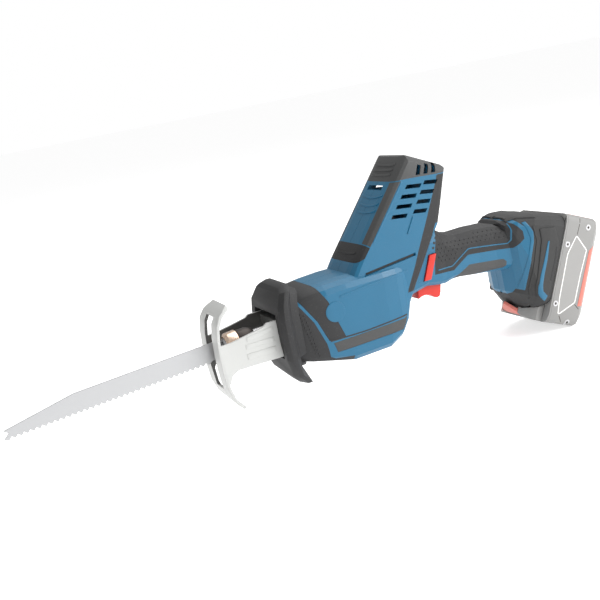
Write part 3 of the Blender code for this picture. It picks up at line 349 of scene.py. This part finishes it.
def black_steel():
    return kept("black_steel", lambda n: ground(n, (0.070, 0.062, 0.058), 0.42, (900.0, 90.0, 900.0)))


def warm_plating():
    return kept("warm_plating", lambda n: ground(n, (0.86, 0.66, 0.52), 0.26, (900.0, 60.0, 60.0)))


def bush_bronze():
    return kept("bush_bronze", lambda n: ground(n, (0.50, 0.31, 0.13), 0.42, (60.0, 900.0, 900.0)))


def wound_copper():
    return kept("wound_copper", lambda n: ground(n, (0.62, 0.27, 0.11), 0.34, (1200.0, 120.0, 1200.0),
                                                 turn=0.52, depth=0.0002))


def black_plastic():
    return kept("black_plastic", lambda n: moulded(n, (0.022, 0.022, 0.023), 0.48, size=1300.0,
                                                   depth=0.00005, drift=0.08, dust=0.03))


def pack_plastic():
    return kept("pack_plastic", lambda n: moulded(n, finishes().pack, 0.50, size=1300.0, depth=0.00005,
                                                  drift=0.03, dust=0.0))


def pack_accent():
    return kept("pack_accent", lambda n: moulded(n, finishes().pack_accent, 0.48, size=1300.0,
                                                 depth=0.00005, drift=0.03, dust=0.0))


def cell_wrap():
    return kept("cell_wrap", lambda n: moulded(n, (0.090, 0.300, 0.160), 0.30, size=400.0, depth=0.00003))


def paint(item, material):
    """Gives a model's node or a new piece one material all over."""
    if item.material_slots:
        for slot in item.material_slots:
            slot.material = material
    else:
        item.data.materials.append(material)


NODE_FINISHES = [
    (shell_plastic, ["housing_left", "housing_right"]),
    (dark_rubber, ["nose_boot", "gear_collar", "tower_collar", "rear_pillar", "handle_grip", "hand_guard",
                   "plunger_seal"]),
    # These rubber parts get the lighter copy of the dark rubber, which paints in the light they catch.
    (rubber_with_painted_light, ["tower_cap", "lower_grip", "side_band_left", "side_band_right", "bumper_left",
                   "bumper_right"]),
    (black_plastic, ["foot_cover", "fan", "switch", "electronics", "terminal_block"]),
    (black_steel, ["clamp_ring", "magnet_left", "magnet_right"]
     + [f"housing_screw_{i}" for i in range(1, 6)]),
    (coated_casting, ["shoe"]),
    (raw_casting, ["gear_case", "gear_case_cover"]),
    (bush_bronze, ["front_bush", "rear_bush"]),
    (bright_steel, ["plunger", "clamp_body", "crank_gear", "crank_roller", "crank_bearing", "motor_shaft",
                    "front_motor_bearing", "rear_motor_bearing", "motor_can"]),
    (warm_plating, ["clamp_sleeve"]),
    (blade_steel, ["blade"]),
    (wound_copper, ["rotor"]),
    (control_plastic, ["trigger", "lock_off"]),
    (pack_plastic, ["pack_case", "pack_cover"]),
    (pack_accent, ["release_button"]),
    (cell_wrap, [f"cell_{i}" for i in range(1, 11)]),
]


# ---------------------------------------------------------------- modelling helpers

MERGE_DISTANCE = 0.000001
FLAT_ANGLE = math.radians(0.5)
ROUNDED_SMOOTH = math.radians(38)
PATCH_SMOOTH = math.radians(40)
PATCH_EDGE = math.radians(50)
BROAD_EDGE = 0.0006   # rounding of the shoe and the pack's cover


def clear_selection():
    bpy.ops.object.select_all(action="DESELECT")


def pick(piece):
    """Makes one piece the only selected and active one."""
    clear_selection()
    piece.select_set(True)
    bpy.context.view_layer.objects.active = piece
    return piece


def apply_modifiers(piece):
    pick(piece)
    for modifier in list(piece.modifiers):
        bpy.ops.object.modifier_apply(modifier=modifier.name)
    return piece


def bevelled(piece, width, segments=2, degrees=30.0):
    """Rounds the piece's edges and shades it by angle."""
    rounding = piece.modifiers.new("edge", "BEVEL")
    rounding.width = width
    rounding.segments = segments
    rounding.limit_method = "ANGLE"
    rounding.angle_limit = math.radians(degrees)
    apply_modifiers(piece)
    bpy.ops.object.shade_smooth_by_angle(angle=ROUNDED_SMOOTH)
    return piece


def finished(piece, name, body, material):
    """Names, paints and seats a piece on its body."""
    piece.name = name
    piece.data.name = name
    paint(piece, material)
    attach(piece, body)
    return piece


def copy_of(node):
    """A merged copy of a model's node, as one clean mesh."""
    piece = bpy.data.objects.new(node + "_copy", NODES[node].data.copy())
    bpy.context.scene.collection.objects.link(piece)
    pick(piece)
    bpy.ops.mesh.customdata_custom_splitnormals_clear()
    bpy.ops.object.mode_set(mode="EDIT")
    bpy.ops.mesh.select_all(action="SELECT")
    bpy.ops.mesh.remove_doubles(threshold=MERGE_DISTANCE)
    bpy.ops.mesh.dissolve_limited(angle_limit=FLAT_ANGLE)
    bpy.ops.object.mode_set(mode="OBJECT")
    return piece


def softened(node, name, body, material, width, segments=3):
    """Stands a rounded copy in for a node of the model."""
    piece = bevelled(copy_of(node), width, segments)
    finished(piece, name, body, material)
    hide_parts(node)
    return piece


# ---------------------------------------------------------------- seating details on the surface

OUTER = ["housing_left", "housing_right", "nose_boot", "gear_collar", "tower_cap", "tower_collar",
         "rear_pillar", "handle_grip", "lower_grip", "foot_cover", "side_band_left", "side_band_right",
         "bumper_left", "bumper_right", "hand_guard", "pack_case", "pack_cover", "shoe"]


def outer_surface():
    """A search tree over the outer nodes."""
    places = []
    polygons = []
    for name in OUTER:
        start = len(places)
        mesh = NODES[name].data
        places += [vertex.co.copy() for vertex in mesh.vertices]
        polygons += [[start + i for i in polygon.vertices] for polygon in mesh.polygons]
    return BVHTree.FromPolygons(places, polygons)


SURFACE = outer_surface()
SIDE_START = 60        # where the rays start, in millimetres, clear of the tool
FRONT_START = -60
TOP_START = 160
PACK_START = 200


def seat_side(side):
    """Seats (x, z) on the near side, -1, or the far side, 1."""
    return lambda a, b: SURFACE.ray_cast(at(a, side * SIDE_START, b), Vector((0, -side, 0)))[:2]


def seat_front(a, b):
    """Seats (y, z) on the faces that look towards the blade."""
    return SURFACE.ray_cast(at(FRONT_START, a, b), Vector((1, 0, 0)))[:2]


def seat_pack_top(a, b):
    """Seats (v, y) on the battery pack's top."""
    return SURFACE.ray_cast(on_pack(PACK_START, b, a), -PACK_UP)[:2]


def seat_top(a, b):
    """Seats (x, y) on the faces that look up."""
    return SURFACE.ray_cast(at(a, b, TOP_START), Vector((0, 0, -1)))[:2]


def along(path, share):
    """The point at a share of a path's length."""
    points = [Vector(p) for p in path]
    lengths = [(b - a).length for a, b in zip(points, points[1:])]
    left = share * sum(lengths)
    for a, b, length in zip(points, points[1:], lengths):
        if left <= length:
            return a.lerp(b, left / length if length else 0)
        left -= length
    return points[-1]


def patch(name, place, columns, rows, seat, rise, sink, body, material, edge=0.0):
    """A plate that follows the surface: place(u, v) gives its flat position, and rise how proud it stands."""
    clear_selection()
    bpy.ops.mesh.primitive_grid_add(x_subdivisions=columns, y_subdivisions=rows, size=1.0, location=(0, 0, 0))
    piece = bpy.context.object
    outward = Vector((0, 0, 0))
    for vertex in piece.data.vertices:
        flat = place(vertex.co.x + 0.5, vertex.co.y + 0.5)
        where, normal = seat(*flat)
        if where is None:
            raise RuntimeError(f"{name} misses the surface at {flat}")
        vertex.co = where + normal * (rise * MM)
        outward += normal
    if sum((p.normal.dot(outward) for p in piece.data.polygons), 0.0) < 0:
        piece.data.flip_normals()
    wall = piece.modifiers.new("wall", "SOLIDIFY")
    wall.thickness = (rise + sink) * MM
    wall.offset = -1
    if edge:
        rounding = piece.modifiers.new("edge", "BEVEL")
        rounding.width = edge * MM
        rounding.segments = 2
        rounding.limit_method = "ANGLE"
        rounding.angle_limit = PATCH_EDGE
    apply_modifiers(piece)
    bpy.ops.object.shade_smooth_by_angle(angle=PATCH_SMOOTH)
    return finished(piece, name, body, material)


def strip(name, path, width, seat, rise, body, material, step=2.0, sink=0.5):
    """A raised line along a path; the width is one number or one for each end."""
    points = [Vector(p) for p in path]
    length = sum((b - a).length for a, b in zip(points, points[1:]))
    ends = width if isinstance(width, tuple) else (width, width)

    def place(u, v):
        here = along(path, u)
        ahead = along(path, min(u + 0.004, 1.0)) - along(path, max(u - 0.004, 0.0))
        side = Vector((-ahead.y, ahead.x)).normalized()
        return here + side * ((v - 0.5) * (ends[0] + (ends[1] - ends[0]) * u))

    return patch(name, place, max(4, round(length / step)), 2, seat, rise, sink, body, material, rise * 0.45)


def between(first, second):
    """A flat position between two paths."""
    return lambda u, v: along(first, u).lerp(along(second, u), v)


def disc(centre, radius):
    """A flat position on a disc."""
    def place(u, v):
        a = 2 * u - 1
        b = 2 * v - 1
        return (centre[0] + radius * a * math.sqrt(1 - b * b / 2),
                centre[1] + radius * b * math.sqrt(1 - a * a / 2))
    return place


def on_both(name, make):
    """Makes the same detail on the near and the far side."""
    for side, label in SIDES:
        make(f"{name}_{label}", seat_side(side))


DOT_STRETCH = 1.6   # a dot's full height over the part of it that shows
DOT_SINK = 0.3


def dots(name, places, seat, body, material):
    """Raised dots, one at each place, as one piece."""
    size = details()
    clear_selection()
    bpy.ops.mesh.primitive_uv_sphere_add(segments=8, ring_count=6, radius=size.dot_radius, location=(0, 0, 0))
    model = bpy.context.object
    model.data.transform(Matrix.Diagonal((1, 1, DOT_STRETCH * size.dot_height / size.dot_radius, 1)))
    copies = []
    for a, b in places:
        where, normal = seat(a, b)
        if where is None:
            continue
        copy = bpy.data.objects.new(name, model.data.copy())
        bpy.context.scene.collection.objects.link(copy)
        turn = normal.to_track_quat("Z", "Y").to_matrix().to_4x4()
        copy.data.transform(Matrix.Translation(where - normal * (DOT_SINK * size.dot_height)) @ turn)
        copies.append(copy)
    bpy.data.objects.remove(model)
    clear_selection()
    for copy in copies:
        copy.select_set(True)
    bpy.context.view_layer.objects.active = copies[0]
    bpy.ops.object.join()
    piece = bpy.context.object
    bpy.ops.object.shade_smooth()
    return finished(piece, name, body, material)


# ---------------------------------------------------------------- details of each part

BAND_LINE = [(22.0, -18.6), (60, -18.9), (103.5, -16.6)]
CREASE = [(38.0, 18.7), (65.4, 21.3), (82.4, 22.4), (112.0, 22.7)]
BUMPER_EDGE = [(121.6, 103.8), (100.0, 77.8), (82.0, 56.2)]
VENT_DIVIDER = [(127.6, 70.5), (119.0, 56.0)]
# Path of the painted shade along the floor of the tower's groove.
GROOVE_PAINTED_SHADE = [(70.5, 30.4), (122.4, 35.7)]
AIR_HOLES = [(159.7, 46.7), (154.8, 42.4), (151.8, 38.3), (149.8, 33.9)]
BADGE_CENTRE = (31.6, 6.6)
BADGE_RADIUS = 9.4
AIR_HOLE_RADIUS = 1.3
FRONT_RIBS = [94.5, 88.0, 82.5]
CAP_RIBS = [119.0, 115.0, 111.0]
COLLAR_RIB = 49.5


def housing_lines(name, seat):
    strip(name + "_band_line", BAND_LINE, 1.3, seat, 0.12, "body", black_plastic())
    # A dark strip on the groove's floor is painted shade for the groove's recess.
    strip(name + "_groove_floor", GROOVE_PAINTED_SHADE, 2.0, seat, 0.1, "body", black_plastic())
    strip(name + "_crease", CREASE, 1.8, seat, 0.28, "body", shell_plastic())
    strip(name + "_corner_edge", BUMPER_EDGE, 1.5, seat, 0.45, "body", shell_plastic())
    strip(name + "_vent_divider", VENT_DIVIDER, 1.8, seat, 0.75, "body", shell_plastic())
    patch(name + "_badge", disc(BADGE_CENTRE, BADGE_RADIUS), 10, 10, seat, 0.35, 0.6, "body",
          shell_plastic(), 0.2)
    for i, centre in enumerate(AIR_HOLES):
        patch(f"{name}_air_hole_{i + 1}", disc(centre, AIR_HOLE_RADIUS), 4, 4, seat, 0.12, 0.5, "body",
              black_plastic())


def front_rib(name, height, half, sag, width, rise, material):
    """A rib across the tower's front, which sags in the middle."""
    path = [(y, height - sag * (1 - (y / half) ** 2)) for y in range(-half, half + 1, 2)]
    strip(name, path, width, seat_front, rise, "body", material)


def tower_front():
    for i, height in enumerate(FRONT_RIBS):
        front_rib(f"front_rib_{i + 1}", height, 19, 2.2, 1.6, 0.7, shell_plastic())
    for i, height in enumerate(CAP_RIBS):
        front_rib(f"cap_rib_{i + 1}", height, 17, 0.8, 1.9, 0.8, rubber_with_painted_light())
    front_rib("collar_rib", COLLAR_RIB, 18, 1.2, 1.6, 0.5, dark_rubber())


BOOT_ROWS = [[(-0.8, 12.1), (1.9, -2.5), (5.3, -18.5), (8.0, -29.0)],
             [(2.0, 12.3), (5.9, -5.5), (8.8, -25.2), (10.5, -32.0)]]
BOOT_DOTS_IN_ROW = 13


def boot_dots(name, seat):
    places = []
    for row, path in enumerate(BOOT_ROWS):
        places += [tuple(along(path, (i + 0.5 * row) / BOOT_DOTS_IN_ROW)) for i in range(BOOT_DOTS_IN_ROW)]
    dots(name, places, seat, "body", dark_rubber())


GRIP_INLAY = [(152.0, 11.4), (169.0, 11.0), (188.7, 22.9), (191.0, 23.1), (232.6, 18.3), (235.0, 21.0),
              (235.6, 32.3), (234.6, 37.6)]


GRIP_DOTS_START = (155.0, 15.5)
GRIP_DOTS_STEP = (5.0, 4.0)
GRIP_DOT_ROWS = 7
GRIP_DOT_COLUMNS = 17
GRIP_DOTS_END = 232
GRIP_DOTS_FALL = 0.075


def grip_floor(x):
    """How high the inlaid line runs under the dots."""
    if x < 170:
        return 13.5
    return min(13.5 + 0.64 * (x - 170), 26.0 - 0.11 * (x - 190))


def grip_details(name, seat):
    strip(name + "_inlay", GRIP_INLAY, 1.1, seat, 0.22, "body", shell_plastic(), step=1.6)
    start_x, start_z = GRIP_DOTS_START
    step_x, step_z = GRIP_DOTS_STEP
    places = []
    for row in range(GRIP_DOT_ROWS):
        for column in range(GRIP_DOT_COLUMNS):
            x = start_x + step_x * column + (step_x / 2 if row % 2 else 0.0)
            z = start_z + step_z * row - GRIP_DOTS_FALL * (x - start_x)
            if grip_floor(x) + 2.0 < z < 37.5 - 0.03 * (x - start_x) and x < GRIP_DOTS_END:
                places.append((x, z))
    dots(name + "_dots", places, seat, "body", dark_rubber())


FOOT_BLOCK_FRONT = [(262.8, 26.5), (263.2, 15.5), (254.8, -12.8), (249.8, -29.9), (250.5, -41.0)]
FOOT_BLOCK_REAR = [(280.5, 24.5), (283.0, 8.0), (274.8, -14.0), (265.8, -36.0), (259.5, -46.0)]
FOOT_INLAY_FRONT = [(269.8, 12.5), (262.4, -5.3), (256.0, -19.0), (252.2, -30.0), (251.6, -38.0),
                    (257.0, -45.5)]
FOOT_INLAY_REAR = [(271.4, 12.5), (266.2, -5.3), (260.4, -19.0), (256.9, -29.5), (256.4, -35.5),
                   (261.0, -41.5)]
FOOT_FLANK_FRONT = [(246.5, 36.0), (250.0, 30.0), (252.0, 19.0), (236.4, -29.5)]
FOOT_FLANK_REAR = [(250.8, 36.5), (255.8, 25.7), (254.8, 15.9), (249.4, 0.7), (243.8, -22.7), (241.8, -31.6)]
FOOT_SLOT = [(279.6, 4.6), (277.2, -5.0), (267.6, -27.5)]
FOOT_RIM = [(256.6, 31.0), (258.6, 16.0), (249.8, -12.5), (245.0, -31.0), (246.0, -42.5)]


HOOD_FRONT = 234.5
HOOD_LENGTH = 28.0
HOOD_WIDTH = 40.0     # at its front
HOOD_FLARE = 22.0     # how much wider it is at its rear
HOOD_RIDGE = [(236.5, -18.0), (235.0, 0.0), (236.5, 18.0)]


def hood_place(u, v):
    return HOOD_FRONT + HOOD_LENGTH * u, (v - 0.5) * (HOOD_WIDTH + HOOD_FLARE * u)


def foot_hood():
    """The black hood over the foot's top, with a ridge at its front."""
    patch("foot_hood", hood_place, 14, 20, seat_top, 0.9, 0.8, "body", black_plastic(), 0.4)
    strip("foot_hood_ridge", HOOD_RIDGE, 2.0, seat_top, 1.6, "body", black_plastic())


def foot_details(name, seat):
    patch(name + "_block", between(FOOT_BLOCK_FRONT, FOOT_BLOCK_REAR), 24, 8, seat, 0.75, 0.5, "body",
          black_plastic(), 0.35)
    patch(name + "_flank", between(FOOT_FLANK_FRONT, FOOT_FLANK_REAR), 28, 4, seat, 0.4, 0.6, "body",
          shell_plastic(), 0.2)
    patch(name + "_inlay", between(FOOT_INLAY_FRONT, FOOT_INLAY_REAR), 24, 3, seat, 1.1, 0.7, "body",
          shell_plastic(), 0.15)
    strip(name + "_slot", FOOT_SLOT, 2.4, seat, 0.95, "body", dark_rubber())
    strip(name + "_rim", FOOT_RIM, 1.6, seat, 0.5, "body", black_plastic())


LABEL_FRONT = [(304.2, 8.4), (291.6, -5.9), (284.5, -24.0), (275.0, -48.0), (271.0, -62.6)]
LABEL_REAR = [(305.8, 8.4), (315.7, -8.1), (304.4, -31.4), (293.4, -57.7), (272.6, -63.6)]
ACCENT_FRONT = [(319.0, -9.5), (296.3, -62.5)]
ACCENT_REAR = [(326.0, -6.5), (302.6, -64.0)]
PACK_SEAMS = [[(314.0, 27.0), (306.2, 10.2)], [(293.0, -59.5), (297.5, -66.0)],
              [(272.0, -65.6), (275.5, -75.0)]]
PACK_SCREWS = [(292.9, 3.5), (269.6, -51.9), (321.1, 14.0), (282.5, -76.0)]
SCREW_RADIUS = 3.0
SOCKET_RADIUS = 1.3
PACK_TOP_LINE = [(270.0, 30.0), (300.0, 29.0)]
PACK_TOE = 250.0


def pack_panel():
    return kept("pack_panel", lambda n: moulded(n, (0.300, 0.296, 0.288), 0.42, size=1800.0, depth=0.00002,
                                                drift=0.02, dust=0.0))


def pack_border():
    return kept("pack_border", lambda n: moulded(n, (0.860, 0.850, 0.830), 0.40, size=1800.0, depth=0.00002,
                                                 drift=0.02, dust=0.0))


def pack_details(name, seat):
    patch(name + "_panel", between(LABEL_FRONT, LABEL_REAR), 28, 8, seat, 0.15, 0.5, "pack", pack_panel())
    outline = LABEL_FRONT + LABEL_REAR[::-1] + LABEL_FRONT[:1]
    strip(name + "_panel_border", outline, 1.2, seat, 0.3, "pack", pack_border(), step=1.5)
    patch(name + "_accent", between(ACCENT_FRONT, ACCENT_REAR), 24, 4, seat, 0.3, 0.5, "pack", pack_accent(),
          0.12)
    for i, path in enumerate(PACK_SEAMS):
        strip(f"{name}_seam_{i + 1}", path, 0.7, seat, 0.06, "pack", black_steel())
    for i, centre in enumerate(PACK_SCREWS):
        patch(f"{name}_screw_{i + 1}", disc(centre, SCREW_RADIUS), 8, 8, seat, 0.3, 0.5, "pack",
              bright_steel(), 0.15)
        patch(f"{name}_screw_socket_{i + 1}", disc(centre, SOCKET_RADIUS), 4, 4, seat, 0.4, 0.5, "pack",
              black_steel())


def pack_top():
    for side, label in SIDES:
        path = [(v, side * y) for v, y in PACK_TOP_LINE]
        strip(f"pack_top_line_{label}", path, 2.2, seat_pack_top, 0.25, "pack", pack_accent())


ARM_PANELS = [[(-52.0, 3.2), (-27.0, 6.4), 3.8], [(-54.0, -3.0), (-27.0, -3.0), 4.0],
              [(-54.0, -12.0), (-27.0, -12.0), 5.0]]


def arm_panels(name, seat):
    for i, (start, end, width) in enumerate(ARM_PANELS):
        strip(f"{name}_panel_{i + 1}", [start, end], width, seat, 0.45, "shoe", coated_casting(), step=3.0)


SOFTENED = [
    ("hand_guard", "body", dark_rubber, 1.0),
    ("trigger", "trigger", control_plastic, 1.4),
    ("lock_off", "lock_off", control_plastic, 0.5),
    ("pack_case", "pack", pack_plastic, 1.6),
    ("release_button", "release_button", pack_accent, 0.6),
    ("clamp_sleeve", "sleeve", warm_plating, 0.4),
    ("clamp_body", "plunger", bright_steel, 0.3),
    ("clamp_ring", "plunger", black_steel, 0.4),
    ("tower_collar", "body", dark_rubber, 0.5),
    ("bumper_left", "body", rubber_with_painted_light, 0.6),
    ("bumper_right", "body", rubber_with_painted_light, 0.6),
    ("side_band_left", "body", rubber_with_painted_light, 0.5),
    ("side_band_right", "body", rubber_with_painted_light, 0.5),
    ("nose_boot", "body", dark_rubber, 0.5),
    ("gear_collar", "body", dark_rubber, 0.5),
    ("tower_cap", "body", rubber_with_painted_light, 1.2),
]


ARM_ROOM = 22.0       # half the room between the shoe's arms
FACES_ACROSS = 0.7    # how squarely a face looks across the tool


def inner_faces(piece, material, test):
    """Gives the faces that pass the test a second material."""
    piece.data.materials.append(material)
    for face in piece.data.polygons:
        if test(face.center, face.normal):
            face.material_index = len(piece.data.materials) - 1


def faces_inward(centre, normal):
    """Whether a face of the shoe's arms looks towards the tool's middle."""
    return abs(centre.y) < ARM_ROOM * MM and normal.y * centre.y < 0 and abs(normal.y) > FACES_ACROSS


# Painted shade: a dark grey laid on the inner faces of the shoe's arms, where the shade between the arms
# falls.
def shadowed_casting():
    return kept("shadowed_casting", lambda n: moulded(n, (0.070, 0.069, 0.066), 0.5, size=700.0,
                                                      depth=0.00008, drift=0.06, dust=0.0))


# ---------------------------------------------------------------- operators

class SAW_OT_finishes(bpy.types.Operator):
    """Gives every node of the engineering model its finish"""
    bl_idname = "saw.finishes"
    bl_label = "Finishes"

    def execute(self, context):
        for maker, names in NODE_FINISHES:
            for name in names:
                paint(NODES[name], maker())
        return {"FINISHED"}


class SAW_OT_soft_edges(bpy.types.Operator):
    """Stands rounded pieces in for the plain mouldings of the model"""
    bl_idname = "saw.soft_edges"
    bl_label = "Soft edges"

    def execute(self, context):
        for node, body, maker, width in SOFTENED:
            softened(node, node + "_rounded", body, maker(), width * MM)
        piece = softened("shoe", "shoe_rounded", "shoe", coated_casting(), BROAD_EDGE)
        # The inner faces of the arms get painted shade, a dark grey for the shade between them.
        inner_faces(piece, shadowed_casting(), faces_inward)
        piece = softened("pack_cover", "pack_cover_rounded", "pack", pack_plastic(), BROAD_EDGE)
        toe = on_pack(0, 0, PACK_TOE).dot(PACK_BACK)
        inner_faces(piece, pack_accent(), lambda c, n: c.dot(PACK_BACK) < toe)
        return {"FINISHED"}


class SAW_OT_housing_details(bpy.types.Operator):
    """Adds the lines, ribs and air holes of the shell and the tower"""
    bl_idname = "saw.housing_details"
    bl_label = "Housing details"

    def execute(self, context):
        on_both("housing", housing_lines)
        tower_front()
        return {"FINISHED"}


class SAW_OT_boot_dots(bpy.types.Operator):
    """Adds the raised dots on the nose boot"""
    bl_idname = "saw.boot_dots"
    bl_label = "Boot dots"

    def execute(self, context):
        on_both("boot_dots", boot_dots)
        return {"FINISHED"}


class SAW_OT_grip_details(bpy.types.Operator):
    """Adds the grip's inlaid line and its raised dots"""
    bl_idname = "saw.grip_details"
    bl_label = "Grip details"

    def execute(self, context):
        on_both("grip", grip_details)
        return {"FINISHED"}


class SAW_OT_foot_details(bpy.types.Operator):
    """Adds the foot's raised block, inlay, slot and rim"""
    bl_idname = "saw.foot_details"
    bl_label = "Foot details"

    def execute(self, context):
        on_both("foot", foot_details)
        foot_hood()
        return {"FINISHED"}


class SAW_OT_pack_details(bpy.types.Operator):
    """Adds the battery pack's bare panel, accent strip, seams and screws"""
    bl_idname = "saw.pack_details"
    bl_label = "Pack details"

    def execute(self, context):
        on_both("pack", pack_details)
        pack_top()
        return {"FINISHED"}


class SAW_OT_shoe_details(bpy.types.Operator):
    """Adds the raised panels of the shoe's arms"""
    bl_idname = "saw.shoe_details"
    bl_label = "Shoe details"

    def execute(self, context):
        on_both("shoe_arm", arm_panels)
        return {"FINISHED"}


class SAW_OT_stage(bpy.types.Operator):
    """Adds the floor, the lights and the camera"""
    bl_idname = "saw.stage"
    bl_label = "Stage"

    def execute(self, context):
        make_floor()
        make_lights()
        make_camera()
        return {"FINISHED"}


FLOOR_SIZE = 60.0
FLOOR_GAP = 0.0002
LIGHT_TARGET = (0.0, 0.0, 0.1)
LIGHTS = [   # name, place, size
    ("key", (1.15, -1.15, 0.85), (0.8, 0.8)),
    ("fill", (-1.4, -0.9, 0.5), (1.2, 1.2)),
    ("top", (0.75, 0.25, 1.5), (2.0, 1.6)),
]


def make_floor():
    """A wide pale floor that lights itself a little."""
    clear_selection()
    settings = bpy.context.scene.saw_stage
    bpy.ops.mesh.primitive_plane_add(size=FLOOR_SIZE, location=(0, 0, -FLOOR_GAP))
    floor = bpy.context.object
    bpy.ops.object.transform_apply(location=True, rotation=True, scale=True)
    material = bpy.data.materials.new("pale_floor")
    material.use_nodes = True
    shader = material.node_tree.nodes["Principled BSDF"]
    shader.inputs["Base Color"].default_value = (*settings.floor, 1.0)
    shader.inputs["Roughness"].default_value = 0.9
    shader.inputs["Emission Color"].default_value = (1.0, 1.0, 1.0, 1.0)
    shader.inputs["Emission Strength"].default_value = settings.glow
    paint(floor, material)
    floor.name = "floor"


def add_light(name, place, target, size, power):
    lamp = bpy.data.lights.new(name, "AREA")
    lamp.shape = "RECTANGLE"
    lamp.size = size[0]
    lamp.size_y = size[1]
    lamp.energy = power
    item = bpy.data.objects.new(name, lamp)
    bpy.context.scene.collection.objects.link(item)
    item.location = place
    item.rotation_euler = (Vector(target) - Vector(place)).to_track_quat("-Z", "Y").to_euler()


def make_lights():
    settings = bpy.context.scene.saw_stage
    world = bpy.data.worlds.new("studio")
    world.use_nodes = True
    back = world.node_tree.nodes["Background"]
    back.inputs["Color"].default_value = (1.0, 1.0, 1.0, 1.0)
    seen = world.node_tree.nodes.new("ShaderNodeLightPath")
    strength = world.node_tree.nodes.new("ShaderNodeMapRange")
    strength.inputs["To Min"].default_value = settings.sky
    strength.inputs["To Max"].default_value = 1.0
    world.node_tree.links.new(seen.outputs["Is Camera Ray"], strength.inputs["Value"])
    world.node_tree.links.new(strength.outputs["Result"], back.inputs["Strength"])
    bpy.context.scene.world = world
    bpy.context.scene.view_settings.view_transform = "Standard"
    for name, place, size in LIGHTS:
        add_light(name, place, LIGHT_TARGET, size, getattr(settings, name))


CAMERA_AZIMUTH = math.radians(22)
CAMERA_HEIGHT = math.radians(14)
CAMERA_ROLL = math.radians(11)
CAMERA_DISTANCE = 760.0
CAMERA_LENS = 50.0
CAMERA_SENSOR = 36.0
VIEW_SHIFT = (-9.1, -20.1)   # sideways and upward offset of the tool's origin from the view's middle, mm


def make_camera():
    """The camera, from the front left of the tool and a little above, rolled so that the blade dips."""
    a = CAMERA_AZIMUTH
    e = CAMERA_HEIGHT
    right = Vector((math.cos(a), -math.sin(a), 0))
    up = Vector((math.sin(a) * math.sin(e), math.cos(a) * math.sin(e), math.cos(e)))
    ahead = Vector((math.sin(a) * math.cos(e), math.cos(a) * math.cos(e), -math.sin(e)))
    c = math.cos(CAMERA_ROLL)
    s = math.sin(CAMERA_ROLL)
    across = right * c - up * s
    above = right * s + up * c
    place = -(across * VIEW_SHIFT[0] + above * VIEW_SHIFT[1] + ahead * CAMERA_DISTANCE)
    camera = bpy.data.cameras.new("camera")
    camera.lens = CAMERA_LENS
    camera.sensor_width = CAMERA_SENSOR
    camera.clip_end = 100.0
    item = bpy.data.objects.new("camera", camera)
    bpy.context.scene.collection.objects.link(item)
    turn = Matrix((across, above, -ahead)).transposed().to_4x4()
    item.matrix_world = Matrix.Translation(at(*place)) @ turn
    bpy.context.scene.camera = item


class SAW_PT_panel(bpy.types.Panel):
    """Lists the saw's steps in the sidebar"""
    bl_idname = "SAW_PT_panel"
    bl_label = "Saw"
    bl_space_type = "VIEW_3D"
    bl_region_type = "UI"
    bl_category = "Saw"

    def draw(self, context):
        for step in STEPS:
            self.layout.operator(step.bl_idname)


STEPS = [SAW_OT_finishes, SAW_OT_soft_edges, SAW_OT_housing_details, SAW_OT_boot_dots, SAW_OT_grip_details,
         SAW_OT_foot_details, SAW_OT_pack_details, SAW_OT_shoe_details, SAW_OT_stage]
SETTINGS = [
    ("saw_finishes", SawFinishSettings),
    ("saw_details", SawDetailSettings),
    ("saw_stage", SawStageSettings),
]


def register():
    for name, settings in SETTINGS:
        bpy.utils.register_class(settings)
        setattr(bpy.types.Scene, name, bpy.props.PointerProperty(type=settings))
    for item in STEPS + [SAW_PT_panel]:
        bpy.utils.register_class(item)


def unregister():
    for item in reversed(STEPS + [SAW_PT_panel]):
        bpy.utils.unregister_class(item)
    for name, settings in reversed(SETTINGS):
        delattr(bpy.types.Scene, name)
        bpy.utils.unregister_class(settings)


def main():
    register()
    for step in STEPS:
        group_name, name = step.bl_idname.split(".")
        getattr(getattr(bpy.ops, group_name), name)()


if __name__ == "__main__":
    main()
